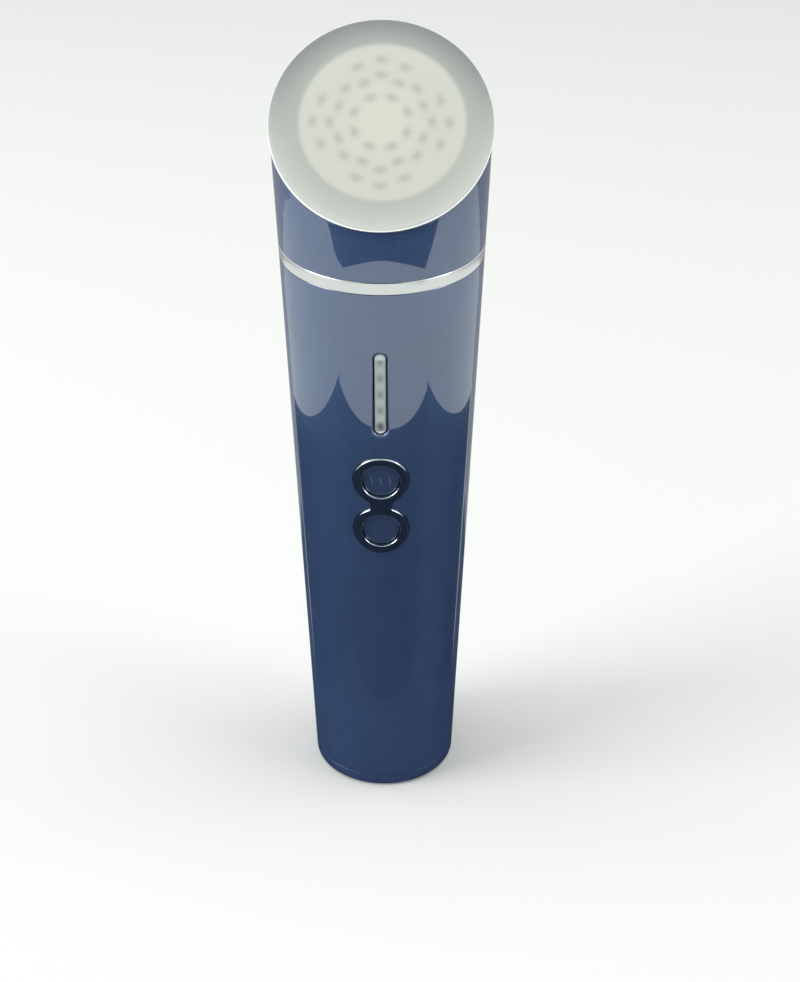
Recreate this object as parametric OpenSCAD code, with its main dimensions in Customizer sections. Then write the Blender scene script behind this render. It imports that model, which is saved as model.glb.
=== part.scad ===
// Hand-held hot and cold facial device. A tapered round handle stands on its flat base at
// Z = 0, with its buttons and its tilted round face towards -Y. Sizes are in millimetres.

/* [Body] */
// Diameter of the body at the top edge of the trim ring
ring_d = 44; // [43:0.5:48]
// Diameter of the body at its flat base
base_d = 32.8; // [32.4:0.2:37]
// Height from the base to the top edge of the trim ring
ring_z = 136; // [134:1:150]
// Height of the bright trim ring
ring_h = 2.8; // [2:0.1:4]
// Wall of the handle tube and of the head shell
wall = 2; // [1.7:0.1:2.2]
// Height of the base cap's rim below the handle tube
cap_h = 3; // [2.6:0.1:4]
// Rounding of the base cap's bottom edge
cap_edge = 1.2; // [0.6:0.1:1.6]

/* [Head] */
// Diameter of the frosted face
face_d = 46.2; // [45.4:0.2:49]
// Tilt of the face from level, in degrees
face_tilt = 45; // [43:0.5:47]
// Height of the middle of the face above the trim ring
face_up = 27.4; // [26.6:0.2:30]
// How far the middle of the face stands forward of the body's axis
face_fwd = 4.6; // [3.8:0.2:5.4]
// How far the face stands out of the head shell
face_proud = 1.2; // [1:0.1:1.6]
// How far the face reaches past the head shell all round
face_overhang = 0.3; // [0.1:0.1:0.6]
// Rounding of the face's edge
face_edge = 0.5; // [0.3:0.1:0.8]
// How far the head's skin bows on its way up: 0 is straight at the face, 1 is as bent there as at the ring
head_bow = 1; // [0.4:0.1:1.2]
// Thickness of the frosted cover
cover_t = 1.6; // [1.4:0.1:1.9]
// Depth of the skirt that locates the cover in the shell
skirt_depth = 2.9; // [2.6:0.1:3.2]
// Thickness of the skirt
skirt_t = 1; // [0.8:0.1:1.2]
// Thickness of the face's seal
seal_t = 0.3; // [0.2:0.05:0.4]

/* [Face lights] */
// Room between the light board's edge and the skirt, for the contact plate's wall
light_board_room = 3.2; // [2.8:0.1:3.6]
// Thickness of the light board
light_board_t = 0.8; // [0.6:0.1:1]
// Length of one light along its ring
light_l = 2.2; // [1.6:0.1:2.4]
// Width of one light
light_w = 1.4; // [1:0.1:1.6]
// Height of one light
light_h = 0.7; // [0.5:0.05:0.8]
// Radius of the inner ring of 8 lights
inner_ring_r = 5.8; // [5:0.1:6.4]
// Radius of the middle ring's 8 nearer lights
middle_near_r = 9.3; // [8.6:0.1:9.6]
// Radius of the middle ring's 8 further lights
middle_far_r = 10.4; // [10:0.1:11]
// Radius of the outer ring's 8 side lights
outer_near_r = 13.1; // [12.8:0.1:13.4]
// Radius of the outer ring's 4 main lights
outer_far_r = 13.9; // [13.6:0.1:14.6]
// Angle between a main light of the outer ring and its side lights
outer_spread = 22; // [16:1:28]

/* [Thermal stack] */
// Thickness of the contact plate's floor
plate_t = 1.5; // [1.2:0.1:1.7]
// Side of the square thermoelectric module
module_w = 20; // [18:0.5:20.5]
// Thickness of the thermoelectric module
module_t = 3.2; // [3:0.1:3.4]
// Thickness of one ceramic plate of the module
ceramic_t = 0.8; // [0.6:0.1:0.9]
// Rows of pellets along one side of the module
pellet_rows = 8; // [6:2:10]
// Thickness of one thermal pad
pad_t = 0.4; // [0.3:0.1:0.5]
// Thickness of the head frame
frame_t = 2; // [1.7:0.1:2.2]
// Thickness of the heat sink's base
sink_base_t = 2; // [1.6:0.1:2.2]
// Length of the heat sink's fins behind its base
fin_l = 5; // [3:0.5:5.5]
// Thickness of one fin
fin_t = 1; // [0.7:0.1:1.2]
// Number of fins
fin_count = 7; // [5:1:8]

/* [Indicator] */
// Height of the middle of the indicator window
window_z = 109.4; // [107.6:0.2:111]
// Length of the window
window_l = 19.6; // [18.6:0.2:21.4]
// Width of the window
window_w = 2.5; // [2:0.1:3]
// Dark gap around the window
window_gap = 0.25; // [0.15:0.05:0.35]
// How far the window lies below the body's surface
window_recess = 0.3; // [0.1:0.1:0.5]
// Number of indicator lights behind the window
indicator_count = 5; // [3:1:5]
// Distance between two indicator lights
indicator_pitch = 3.95; // [3.6:0.05:4.1]

/* [Buttons] */
// Height of the waist between the two buttons
panel_z = 81.2; // [80:0.2:83]
// Diameter of a button
button_d = 8; // [7.6:0.1:8.6]
// Distance between the middles of the two buttons
button_pitch = 12.8; // [12.5:0.1:13.4]
// Running gap round a button
button_gap = 0.15; // [0.1:0.05:0.2]
// Width of the bezel's ring round a button
bezel_rim = 2.05; // [1.8:0.05:2.1]
// Width of the bezel at its waist
waist_w = 4.3; // [3.8:0.1:5]
// How far the bezel stands out of the body
bezel_proud = 0.4; // [0.2:0.1:0.8]
// How far a button's face lies below the body's surface
button_recess = 0.5; // [0.3:0.1:0.8]
// Travel of a button
button_travel = 0.4; // [0.2:0.1:0.5]

/* [Boards] */
// Depth of the main board's front below the body's surface
board_depth = 10; // [9.8:0.1:10.4]
// Width of the main board
board_w = 20; // [19.6:0.2:22]
// Length of the main board
board_l = 58; // [57.6:0.2:59]
// Height of the middle of the main board
board_z = 95.4; // [95:0.2:95.8]
// Thickness of the main board
board_t = 1.2; // [1:0.1:1.4]
// Side of a square switch body
switch_w = 6; // [5.4:0.1:6.2]
// Height of a switch body
switch_h = 3; // [2.8:0.1:3.2]
// Height of a switch plunger above its body
plunger_up = 0.8; // [0.7:0.1:0.9]
// Radius of a switch plunger
plunger_r = 1.7; // [1.4:0.1:1.8]
// Radius of the small screws' shanks
screw_r = 1; // [0.9:0.05:1.1]

/* [Battery] */
// Diameter of the battery cell
cell_d = 18.3; // [17.8:0.1:18.4]
// Length of the battery cell
cell_l = 65; // [62:0.5:65.5]
// Height of the cell's lower end
cell_z = 20.6; // [20.4:0.1:21]
// How far the cell's axis lies behind the body's axis
cell_back = 3.4; // [3.3:0.05:3.5]
// Wall of the battery cradle
cradle_t = 1.4; // [1.3:0.05:1.5]

/* [Charging socket] */
// Width of the socket's shell
socket_w = 8.94; // [8.6:0.02:9.2]
// Height of the socket's shell
socket_h = 3.26; // [3:0.02:3.5]
// Length of the socket's shell
socket_l = 7.3; // [6.4:0.1:8]
// Depth of the socket's mouth above the base
socket_in = 0.4; // [0.2:0.1:0.8]

/* [Hidden] */
$fn = 64;

// Clearance between two fixed pieces that fit together
fit = 0.1;
// Clearance between two fixed faces that lie on each other
lie = 0.05;
// Clearance of a screw's shank in its hole, of the seal and of the battery bands
grip = 0.02;
// Gap between two pieces that only pass each other
clear = 0.3;
// Length that two shapes of one piece run into each other
weld = 0.01;
// Length that a cutting tool runs past what it cuts
past = 1;

// The body's taper
slope = (ring_d - base_d) / 2 / ring_z;
taper = atan(slope);
ring_low = ring_z - ring_h;

// The screws' heads, and how far each kind of screw reaches into its last piece
screw_head_r = 1.8;
screw_head_t = 1.1;
screw_slot_w = 0.4;
screw_sink = screw_head_t + clear;
sink_grip = 3;
frame_grip = 4;
neck_grip = 3.8;
board_grip = 1.2;
base_grip = 5;

// The face and what lies behind it, as depths below its front
face_r = face_d / 2;
rim_depth = face_proud + seal_t;
rebate_depth = skirt_depth + clear;
rebate_cut = 0.7;
rebate_r = face_r - face_overhang - wall + rebate_cut;
spigot_r = rebate_r - fit;
skirt_in_r = spigot_r - skirt_t;
light_board_d = 2 * (skirt_in_r - light_board_room);
light_gap = 0.6;
light_depth = cover_t + light_gap;
light_board_depth = light_depth + light_h;
plate_depth = light_board_depth + light_board_t;
front_pad_depth = plate_depth + plate_t;
module_depth = front_pad_depth + pad_t;
rear_pad_depth = module_depth + module_t;
sink_depth = rear_pad_depth + pad_t;
frame_depth = front_pad_depth;
frame_back = frame_depth + frame_t;
plate_flange_r = skirt_in_r - 2 * fit;
plate_wall = light_board_room / 2 - fit;
plate_body_r = light_board_d / 2 + plate_wall;
plate_flange_depth = rebate_depth - fit;
frame_r = plate_body_r - clear;
frame_window = module_w + 2 * clear;
ribbon_in = 1.8;
ribbon_y = ribbon_in - light_board_d / 2;
ribbon_room = 1.3;
sensor_r = 1.2;
sensor_x = (frame_window / 2 + frame_r) / 2;
sensor_y = 1;
pellet_share = 0.56;

// Pillars that carry the head frame, and the heat sink with its screws
pillar_angle = 44.6;
pillar_reach = frame_r + fit;
pillar_x = pillar_reach * cos(pillar_angle);
pillar_y = -pillar_reach * sin(pillar_angle);
pillar_r = 2;
pillar_foot = 1;
sink_post_r = 1.7;
sink_screw_x = frame_window / 2 + 2 * fit + sink_post_r;
sink_screw_y = 4.5;
sink_w = 2 * (sink_screw_x + screw_head_r);
sink_l = module_w;
sink_r = pillar_reach - pillar_r - clear;
fin_pitch = (module_w - 2 * fin_t) / (fin_count - 1);

// The neck frame, its floor and the bosses under it
neck_t = 1.6;
neck_floor_t = 1.6;
neck_reach = 6;
neck_rise = 3;
neck_low = ring_low - neck_reach;
neck_high = ring_z + neck_rise;
neck_lead_in = 1.6;
neck_opening_w = 16;
neck_opening_y = -16;
neck_opening_l = 28.8;
neck_boss_in = 9.5;
neck_boss_x = ring_d / 2 - neck_boss_in;
neck_boss_y = -4;
neck_boss_r = 2.4;
neck_boss_l = 4.4;
ear_t = 2;
ear_r = neck_boss_r + 0.6;
ear_w = 4;
ear_top = ring_z - neck_floor_t - neck_boss_l;

// The indicator
window_flange = 1.3;
window_flange_t = 1;
shield_w = 6;
cell_w = 3;
cell_gap = 0.55;
indicator_w = 1.6;
indicator_h = 0.8;
shield_top = wall + window_flange_t + 2 * fit;

// The buttons
lobe_r = button_d / 2 + bezel_rim;
neck_fillet =
  (pow(button_pitch / 2, 2) + pow(waist_w / 2, 2) - pow(lobe_r, 2)) / (2 * (lobe_r - waist_w / 2));
bezel_behind = 2.6;
bezel_back = wall + bezel_behind;
bezel_flange = 1.4;
flange_t = 0.8;
flange_wide = 0.8;
stem_r = 1.6;
flange_depth = bezel_back + fit;
switch_depth = board_depth - switch_h;
stem_depth = switch_depth - plunger_up;
plunger_l = 2;
switch_bore = plunger_l - plunger_up + button_travel + 2 * fit;
button_z = [panel_z + button_pitch / 2 * cos(taper), panel_z - button_pitch / 2 * cos(taper)];

// The main board and what stands on it
board_back = board_depth + board_t;
board_screw_x = 7.8;
board_screw_in = 3;
spine_depth = board_back + clear;
spine_t = 1.6;
spine_w = 22;
boss_r = 2.2;
boss_l = 2.2;
chip_w = 5.4;
chip_t = 1.1;
chip_x = 6.6;
chip_down = 21;
chip_up = board_l / 2 - chip_down;
coil_down = 13;
coil_up = board_l / 2 - coil_down;
coil_t = 3;
capacitor_r = 1.5;
capacitor_pitch = 3.4;

// The connectors: the ribbon's and the two large ones behind the board, the charge leads' in front
connector_t = 3.6;
connector_w = 9;
connector_l = 6;
ribbon_t = 0.3;
ribbon_w = 8;
ribbon_end = 0.35;
ribbon_straight = 4;
ribbon_connector_t = 1.2;
ribbon_connector_l = 2.4;
ribbon_up = board_l / 2 - ribbon_end - lie - ribbon_connector_l / 2;
head_up = ribbon_up - ribbon_connector_l / 2 - 2 * clear - connector_l / 2;
arm_gap = 2 * (board_screw_x - boss_r - clear);
arm_z = board_z + (head_up - connector_l / 2 - 2 * clear) * cos(taper);
charge_w = 4.8;
charge_l = 3.6;
charge_x = -6.9;
charge_up = board_screw_in + screw_head_r + clear + charge_l / 2 - board_l / 2;

// The battery
cell_r = cell_d / 2;
cradle_in = cell_r + fit + lie;
cradle_r = cradle_in + cradle_t;
cradle_under = 1.6;
cradle_over = 2.4;
cradle_low = cell_z - cradle_under;
cradle_high = cell_z + cell_l + cradle_over;
cradle_end_t = 1.2;
cradle_lip = 2.4;
cradle_rest = 3;
tab_t = 0.3;
tab_w = 5;
band_w = 8;
band_t = 0.5;
band_places = [cell_z + 0.22 * cell_l, cell_z + 0.52 * cell_l];
battery_window_up = 10;
battery_window_z = cell_z + cell_l + battery_window_up;
battery_window_w = 13;
battery_window_l = 9;

// The base
cap_floor = 2.4;
spigot_t = 1.5;
spigot_top = 9;
seal_z = 6;
seal_r = 0.6;
leg_r = 2.2;
leg_in = 3;
leg_x = base_d / 2 - wall - fit - spigot_t - leg_r - 2 * clear;
socket_wall = 0.3;
socket_end_t = 0.8;
tongue_side = 1.1;
tongue_w = socket_w - 2 * tongue_side;
tongue_t = 0.7;
tongue_in = 1;
socket_board_t = 1;
socket_board_y = socket_h / 2;
socket_board_w = 2 * (leg_x - screw_r - 2 * clear);
socket_board_top = 16.6;

// The round leads: their radius, the sideways place of most pairs and the size of their bends
lead_r = 0.55;
lead_x = 3;
lead_bend = 2.4;
lead_out = 2;
lead_bow = 4;
lead_spread = 2.5;

// The head's skin is a ring of points at each of several steps from the trim ring to the face
head_points = 72;
head_steps = 9;

function unit(v) = v / norm(v);

// Half width of the body at a height
function body_r(z) = base_d / 2 + slope * z;

// A place on the face's own axes, in the body's frame
function face_point(x, y, depth) =
  [x, y * cos(face_tilt) + depth * sin(face_tilt) - face_fwd,
   ring_z + face_up + y * sin(face_tilt) - depth * cos(face_tilt)];

// A place measured in from the front of the body, at a height
function front_point(x, z, depth) =
  [x, depth * cos(taper) - body_r(z), z + depth * sin(taper)];

// A place measured up from the main board's middle, at a depth below the front of the body
function board_point(x, up, depth) = front_point(x, board_z + up * cos(taper), depth);

function hermite(p0, m0, p1, m1, t) =
  (2 * pow(t, 3) - 3 * pow(t, 2) + 1) * p0 + (pow(t, 3) - 2 * pow(t, 2) + t) * m0
  + (3 * pow(t, 2) - 2 * pow(t, 3)) * p1 + (pow(t, 3) - pow(t, 2)) * m1;

// A point of the head's skin, from the ring at t = 0 to the face at t = 1
function head_point(a, t, inset, depth) =
  let (
    r0 = ring_d / 2 - inset,
    r1 = face_r - face_overhang - inset,
    low = [r0 * cos(a), r0 * sin(a), ring_z],
    high = face_point(r1 * cos(a), r1 * sin(a), depth),
    reach = norm(high - low),
    along = unit(high - low),
    leave = unit([slope * cos(a), slope * sin(a), 1]),
    arrive = unit(along + head_bow * (along - leave))
  )
  hermite(low, reach * leave, high, reach * arrive, t);

function head_ring(t, inset, depth) =
  [for (i = [0:head_points - 1]) head_point(360 * i / head_points, t, inset, depth)];

function face_ring(r, depth) =
  [for (i = [0:head_points - 1])
    let (a = 360 * i / head_points)
    face_point(r * cos(a), r * sin(a), depth)];

// Points of a smooth curve through a list of places
function curve(p, steps) =
  [for (i = [0:len(p) - 2], s = [0:steps - 1])
    let (
      before = p[max(i - 1, 0)],
      after = p[min(i + 2, len(p) - 1)]
    )
    hermite(p[i], (p[i + 1] - before) / 2, p[i + 1], (after - p[i]) / 2, s / steps),
   p[len(p) - 1]];

// Runs its children on the face's own axes, with +Z out of the face
module on_face(depth = 0) {
  translate([0, -face_fwd, ring_z + face_up])
    rotate([face_tilt, 0, 0])
      translate([0, 0, -depth])
        children();
}

// Runs its children on the front of the body at a height, with +Z straight out
module on_front(z, depth = 0) {
  translate([0, -body_r(z), z])
    rotate([90 + taper, 0, 0])
      translate([0, 0, -depth])
        children();
}

// Solid body between two heights, grown or shrunk all round
module body_band(low, high, grow) {
  translate([0, 0, low])
    cylinder(h = high - low, r1 = body_r(low) + grow, r2 = body_r(high) + grow);
}

// Closed skin through rings of points, the last ring joined to the first
module ring_skin(rings) {
  n = len(rings[0]);
  m = len(rings);
  polyhedron(
    points = [for (ring = rings) each ring],
    faces = [for (i = [0:m - 1], j = [0:n - 1])
      let (
        a = i * n + j,
        b = ((i + 1) % m) * n + j,
        c = ((i + 1) % m) * n + (j + 1) % n,
        d = i * n + (j + 1) % n
      )
      each [[a, b, c], [a, c, d]]]);
}

// Round lead along a list of points
module lead(points, r = lead_r, sides = 8) {
  n = len(points);
  rings = [for (i = [0:n - 1])
    let (
      along = unit(points[min(i + 1, n - 1)] - points[max(i - 1, 0)]),
      side = unit(cross(along, [0.37, 0.83, 0.41])),
      up = cross(side, along)
    )
    [for (j = [0:sides - 1]) points[i] + r * (cos(360 * j / sides) * side + sin(360 * j / sides) * up)]];
  polyhedron(
    points = [for (ring = rings) each ring],
    faces = concat(
      [[for (j = [0:sides - 1]) j]],
      [[for (j = [sides - 1:-1:0]) (n - 1) * sides + j]],
      [for (i = [0:n - 2], j = [0:sides - 1])
        let (k = (j + 1) % sides)
        each [[i * sides + j, (i + 1) * sides + j, (i + 1) * sides + k],
              [i * sides + j, (i + 1) * sides + k, i * sides + k]]]));
}

// Outline of the charging socket, grown all round
module socket_2d(grow) {
  rotate(90)
    slot_2d(socket_h + 2 * grow, socket_w + 2 * grow);
}

// Flat bar with round ends, standing along Y
module slot_2d(width, length) {
  square([width, length - width], center = true);
  for (s = [-1, 1])
    translate([0, s * (length - width) / 2])
      circle(d = width);
}

// Points of an arc from one angle to another
function arc(x, y, r, from, to, steps) =
  [for (i = [0:steps])
    let (a = from + (to - from) * i / steps)
    [x + r * cos(a), y + r * sin(a)]];

// Outline of the button bezel, grown all round: two lobes and the fillets of their waist
module figure_eight(grow) {
  half = button_pitch / 2;
  side = waist_w / 2 + neck_fillet;
  turn = atan2(half, side);
  polygon(concat(
    arc(side, 0, neck_fillet - grow, 180 + turn, 180 - turn, 6),
    arc(0, half, lobe_r + grow, -turn, 180 + turn, 48),
    arc(-side, 0, neck_fillet - grow, turn, -turn, 6),
    arc(0, -half, lobe_r + grow, 180 - turn, 360 + turn, 48)));
}

// Small pan-head screw, its head on top and its shank pointing down
module screw(shank_l, head_r = screw_head_r, head_t = screw_head_t) {
  difference() {
    cylinder(h = head_t, r = head_r, $fn = 32);
    for (a = [0, 90])
      rotate([0, 0, a])
        translate([0, 0, head_t])
          cube([1.3 * head_r, screw_slot_w, head_t], center = true);
  }
  translate([0, 0, -shank_l])
    cylinder(h = shank_l, r = screw_r, $fn = 32);
}

// Runs its children at each of the four board screws
module at_board_screws(depth) {
  for (s = [-1, 1], e = [-1, 1])
    on_front(board_z, depth)
      translate([s * board_screw_x, e * (board_l / 2 - board_screw_in), 0])
        children();
}

module at_pillars(depth) {
  for (s = [-1, 1])
    on_face(depth)
      translate([s * pillar_x, pillar_y, 0])
        children();
}

module at_sink_screws(depth) {
  for (sx = [-1, 1], sy = [-1, 1])
    on_face(depth)
      translate([sx * sink_screw_x, sy * sink_screw_y, 0])
        children();
}

module at_legs(z) {
  for (s = [-1, 1])
    translate([s * leg_x, socket_board_y + socket_board_t / 2, z])
      children();
}

// Tapered handle tube, open at both ends, cut for the window and the bezel
module handle_shell() {
  color("#2b3d63")
    difference() {
      body_band(cap_h, ring_low, 0);
      body_band(cap_h - past, ring_low + past, -wall);
      on_front(window_z, wall + past)
        linear_extrude(wall + 2 * past)
          slot_2d(window_w + 2 * window_gap, window_l + 2 * window_gap);
      on_front(panel_z, wall + 2 * past)
        linear_extrude(wall + 4 * past)
          figure_eight(fit);
    }
}

// Head shell: one skin from the trim ring to the tilted mouth, with a rebate for the cover
module head_shell() {
  color("#2b3d63")
    ring_skin(concat(
      [for (i = [0:head_steps]) head_ring(i / head_steps, 0, rim_depth)],
      [face_ring(rebate_r, rim_depth), face_ring(rebate_r, rebate_depth)],
      [for (i = [head_steps:-1:0]) head_ring(i / head_steps, wall, rebate_depth)]));
}

module trim_ring() {
  color("#dfe2e6")
    difference() {
      body_band(ring_low, ring_z, 0);
      body_band(ring_low - past, ring_z + past, -wall - lie);
    }
}

// Base cap: a rim that carries on the body's taper, and a hollow spigot inside the handle
module base_cap() {
  color("#24304d")
    difference() {
      union() {
        cylinder(h = cap_edge, r = body_r(cap_edge) - cap_edge);
        translate([0, 0, cap_edge])
          rotate_extrude()
            translate([body_r(cap_edge) - cap_edge, 0])
              circle(cap_edge, $fn = 32);
        body_band(cap_edge, cap_h, 0);
        body_band(cap_h, spigot_top, -wall - fit);
      }
      body_band(cap_floor, spigot_top + past, -wall - fit - spigot_t);
      rotate_extrude()
        translate([body_r(seal_z) - wall - fit, seal_z])
          circle(seal_r, $fn = 24);
      translate([0, 0, -past])
        linear_extrude(cap_floor + 2 * past)
          socket_2d(fit);
      at_legs(-past) {
        cylinder(h = cap_floor + 2 * past, r = screw_r + grip, $fn = 32);
        cylinder(h = screw_sink + past, r = screw_head_r + 2 * fit, $fn = 32);
      }
    }
}

// Sealing ring in the spigot's groove
module base_seal() {
  color("#1c1c1e")
    intersection() {
      rotate_extrude()
        translate([body_r(seal_z) - wall - fit, seal_z])
          circle(seal_r - grip, $fn = 24);
      body_band(seal_z - seal_r, seal_z + seal_r, -wall - grip);
    }
}

// Frosted cover with a rounded edge and a skirt behind it
module face_cover() {
  color("#d9dcd2")
    on_face()
      rotate_extrude($fn = 96) {
        translate([0, -cover_t])
          square([spigot_r, cover_t]);
        translate([0, -face_proud])
          square([face_r, face_proud - face_edge]);
        translate([face_r - face_edge, -face_edge])
          circle(face_edge, $fn = 32);
        translate([0, -face_edge])
          square([face_r - face_edge, face_edge]);
        translate([skirt_in_r, -skirt_depth])
          square([skirt_t, skirt_depth]);
      }
}

module face_seal() {
  color("#26282c")
    on_face(rim_depth)
      difference() {
        cylinder(h = seal_t, r = face_r - face_overhang - 2 * fit);
        translate([0, 0, -past])
          cylinder(h = seal_t + 2 * past, r = spigot_r + lie);
      }
}

// Places of the lights on the face, as radius and angle
light_places = concat(
  [for (i = [0:7]) [inner_ring_r, 22.5 + 45 * i]],
  [for (i = [0:7]) [middle_far_r, 45 * i]],
  [for (i = [0:7]) [middle_near_r, 22.5 + 45 * i]],
  [for (i = [0:3]) [outer_far_r, 90 * i]],
  [for (i = [0:3], s = [-1, 1]) [outer_near_r, 90 * i + s * outer_spread]]);

module light_board() {
  color("#eef0ea")
    on_face(plate_depth)
      cylinder(h = light_board_t, d = light_board_d);
}

// Slot near the lower edge that the light ribbon passes through
module ribbon_slot(thick) {
  translate([0, ribbon_y, thick / 2])
    cube([ribbon_w + 2 * clear, ribbon_t + ribbon_room, thick + 2 * past], center = true);
}

module face_lights() {
  color("#c9c49a")
    on_face(light_board_depth)
      for (p = light_places)
        rotate([0, 0, p[1]])
          translate([p[0], 0, light_h / 2])
            cube([light_w, light_l, light_h], center = true);
}

// Aluminium dish: its rim spreads heat behind the cover, its floor carries the light board
module contact_plate() {
  color("#b9bcc0")
    on_face(front_pad_depth)
      difference() {
        union() {
          cylinder(h = front_pad_depth - cover_t - lie, r = plate_body_r);
          translate([0, 0, front_pad_depth - plate_flange_depth])
            cylinder(h = plate_flange_depth - cover_t - lie, r = plate_flange_r);
        }
        translate([0, 0, plate_t])
          cylinder(h = front_pad_depth, r = light_board_d / 2 + lie);
        ribbon_slot(plate_t);
      }
}

module thermal_pad(depth) {
  on_face(depth)
    translate([0, 0, pad_t / 2])
      cube([module_w, module_w, pad_t], center = true);
}

module front_thermal_pad() {
  color("#8fa3b8")
    thermal_pad(module_depth);
}

module rear_thermal_pad() {
  color("#8fa3b8")
    thermal_pad(sink_depth);
}

// The two ceramic plates of the thermoelectric module
module thermo_plates() {
  color("#f2f2ee")
    for (depth = [module_depth + ceramic_t, rear_pad_depth])
      on_face(depth)
        translate([0, 0, ceramic_t / 2])
          cube([module_w, module_w, ceramic_t], center = true);
}

// Pellets between the two ceramic plates
module thermo_pellets() {
  pitch = module_w / pellet_rows;
  pellet_w = pellet_share * pitch;
  color("#5d6066")
    on_face(rear_pad_depth - ceramic_t)
      for (i = [0:pellet_rows - 1], j = [0:pellet_rows - 1])
        translate([(i - (pellet_rows - 1) / 2) * pitch, (j - (pellet_rows - 1) / 2) * pitch,
                   module_t / 2 - ceramic_t])
          cube([pellet_w, pellet_w, module_t - 2 * ceramic_t], center = true);
}

// Finned heat sink behind the module
module heat_sink() {
  color("#9a9da3")
    difference() {
      union() {
        on_face(sink_depth + sink_base_t) {
          intersection() {
            translate([-sink_w / 2, -sink_l / 2, 0])
              cube([sink_w, sink_l, sink_base_t]);
            cylinder(h = sink_base_t, r = sink_r);
          }
          for (i = [0:fin_count - 1])
            translate([(i - (fin_count - 1) / 2) * fin_pitch - fin_t / 2, -sink_l / 2, -fin_l])
              cube([fin_t, sink_l, fin_l + weld]);
        }
        at_sink_screws(sink_depth + sink_base_t)
          cylinder(h = sink_base_t, r = screw_head_r - fit, $fn = 32);
      }
      at_sink_screws(sink_depth + sink_base_t + past)
        cylinder(h = sink_base_t + 2 * past, r = screw_r + grip, $fn = 32);
    }
}

// Bead that measures the contact plate's temperature, in a hole of the head frame
module heat_sensor() {
  color("#2b2b2e")
    on_face(frame_back)
      translate([sensor_x, sensor_y, 0])
        cylinder(h = frame_t, r = sensor_r, $fn = 32);
}

// Frame that clamps the thermal stack, on the neck frame's two pillars
module head_frame() {
  color("#3a3c40")
    difference() {
      union() {
        on_face(frame_back)
          cylinder(h = frame_t, r = frame_r);
        at_pillars(frame_back)
          cylinder(h = frame_t, r = pillar_r + pillar_foot, $fn = 32);
        at_sink_screws(sink_depth)
          cylinder(h = sink_depth - frame_depth, r = sink_post_r, $fn = 32);
      }
      on_face(frame_back) {
        translate([0, 0, frame_t / 2])
          cube([frame_window, frame_window, frame_t + 2 * past], center = true);
        translate([sensor_x, sensor_y, -past])
          cylinder(h = frame_t + 2 * past, r = sensor_r + fit, $fn = 32);
        ribbon_slot(frame_t);
      }
      at_pillars(frame_back + past)
        cylinder(h = frame_t + 2 * past, r = screw_r + grip, $fn = 32);
      at_pillars(frame_depth + screw_head_t)
        cylinder(h = screw_head_t + past, r = screw_head_r + fit, $fn = 32);
      at_sink_screws(sink_depth + past)
        cylinder(h = sink_grip + clear + past, r = screw_r + grip, $fn = 32);
    }
}

module sink_screws() {
  color("#c8cace")
    at_sink_screws(sink_depth + sink_base_t)
      rotate([180, 0, 0])
        screw(sink_base_t + sink_grip);
}

module head_frame_screws() {
  color("#c8cace")
    at_pillars(frame_depth + screw_head_t)
      screw(frame_t - screw_head_t + frame_grip);
}

module at_neck_bosses(z) {
  for (s = [-1, 1])
    translate([s * neck_boss_x, neck_boss_y, z])
      children();
}

// Neck frame: spigots into both shells, a floor, bosses for the chassis, pillars for the head
module neck_frame() {
  spigot = body_r(ring_z) - wall - fit;
  color("#3a3c40")
    difference() {
      union() {
        difference() {
          union() {
            body_band(neck_low, ring_z, -wall - fit);
            translate([0, 0, ring_z])
              cylinder(h = neck_high - ring_z, r1 = spigot, r2 = spigot - neck_lead_in);
          }
          body_band(neck_low - past, ring_z - neck_floor_t, -wall - fit - neck_t);
          translate([0, 0, ring_z])
            cylinder(h = neck_high - ring_z, r1 = spigot - neck_t, r2 = spigot - neck_t - neck_lead_in);
          translate([0, 0, neck_high - weld])
            cylinder(h = past, r = spigot - neck_t - neck_lead_in);
          translate([-neck_opening_w / 2, neck_opening_y, ring_z - neck_floor_t - past])
            cube([neck_opening_w, neck_opening_l, neck_floor_t + 2 * past]);
        }
        at_neck_bosses(ear_top)
          cylinder(h = neck_boss_l + neck_floor_t / 2, r = neck_boss_r, $fn = 32);
        intersection() {
          at_pillars(frame_back)
            mirror([0, 0, 1])
              cylinder(h = ring_d, r = pillar_r, $fn = 32);
          translate([-ring_d, -ring_d, ring_z - neck_floor_t / 2])
            cube([2 * ring_d, 2 * ring_d, ring_d]);
        }
      }
      at_neck_bosses(ear_top - past)
        cylinder(h = neck_boss_l + past, r = screw_r + grip, $fn = 32);
      at_pillars(frame_back + frame_grip + clear)
        cylinder(h = frame_grip + clear + past, r = screw_r + grip, $fn = 32);
    }
}

module neck_screws() {
  color("#c8cace")
    at_neck_bosses(ear_top - ear_t)
      rotate([180, 0, 0])
        screw(ear_t + neck_grip);
}

// Milky light bar with a flange behind the wall
module indicator_window() {
  color("#b9bfc4") {
    intersection() {
      on_front(window_z, shield_top)
        linear_extrude(shield_top)
          slot_2d(window_w, window_l);
      body_band(cap_h, ring_low, -window_recess);
    }
    intersection() {
      on_front(window_z, shield_top)
        linear_extrude(shield_top)
          slot_2d(window_w + 2 * window_flange, window_l + 2 * window_flange);
      body_band(cap_h, ring_low, -wall - lie);
    }
  }
}

module at_indicators(depth) {
  for (i = [0:indicator_count - 1])
    on_front(window_z, depth)
      translate([0, (i - (indicator_count - 1) / 2) * indicator_pitch, 0])
        children();
}

// Black frame that keeps each indicator's light to its own spot of the window
module light_shield() {
  height = board_depth - shield_top - lie;
  color("#1b1b1d")
    difference() {
      on_front(window_z, board_depth)
        translate([0, 0, height / 2])
          cube([shield_w, window_l + 2 * window_flange, height], center = true);
      at_indicators(board_depth)
        translate([0, 0, height / 2])
          cube([cell_w, indicator_pitch - cell_gap, height + 2 * past], center = true);
    }
}

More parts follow.
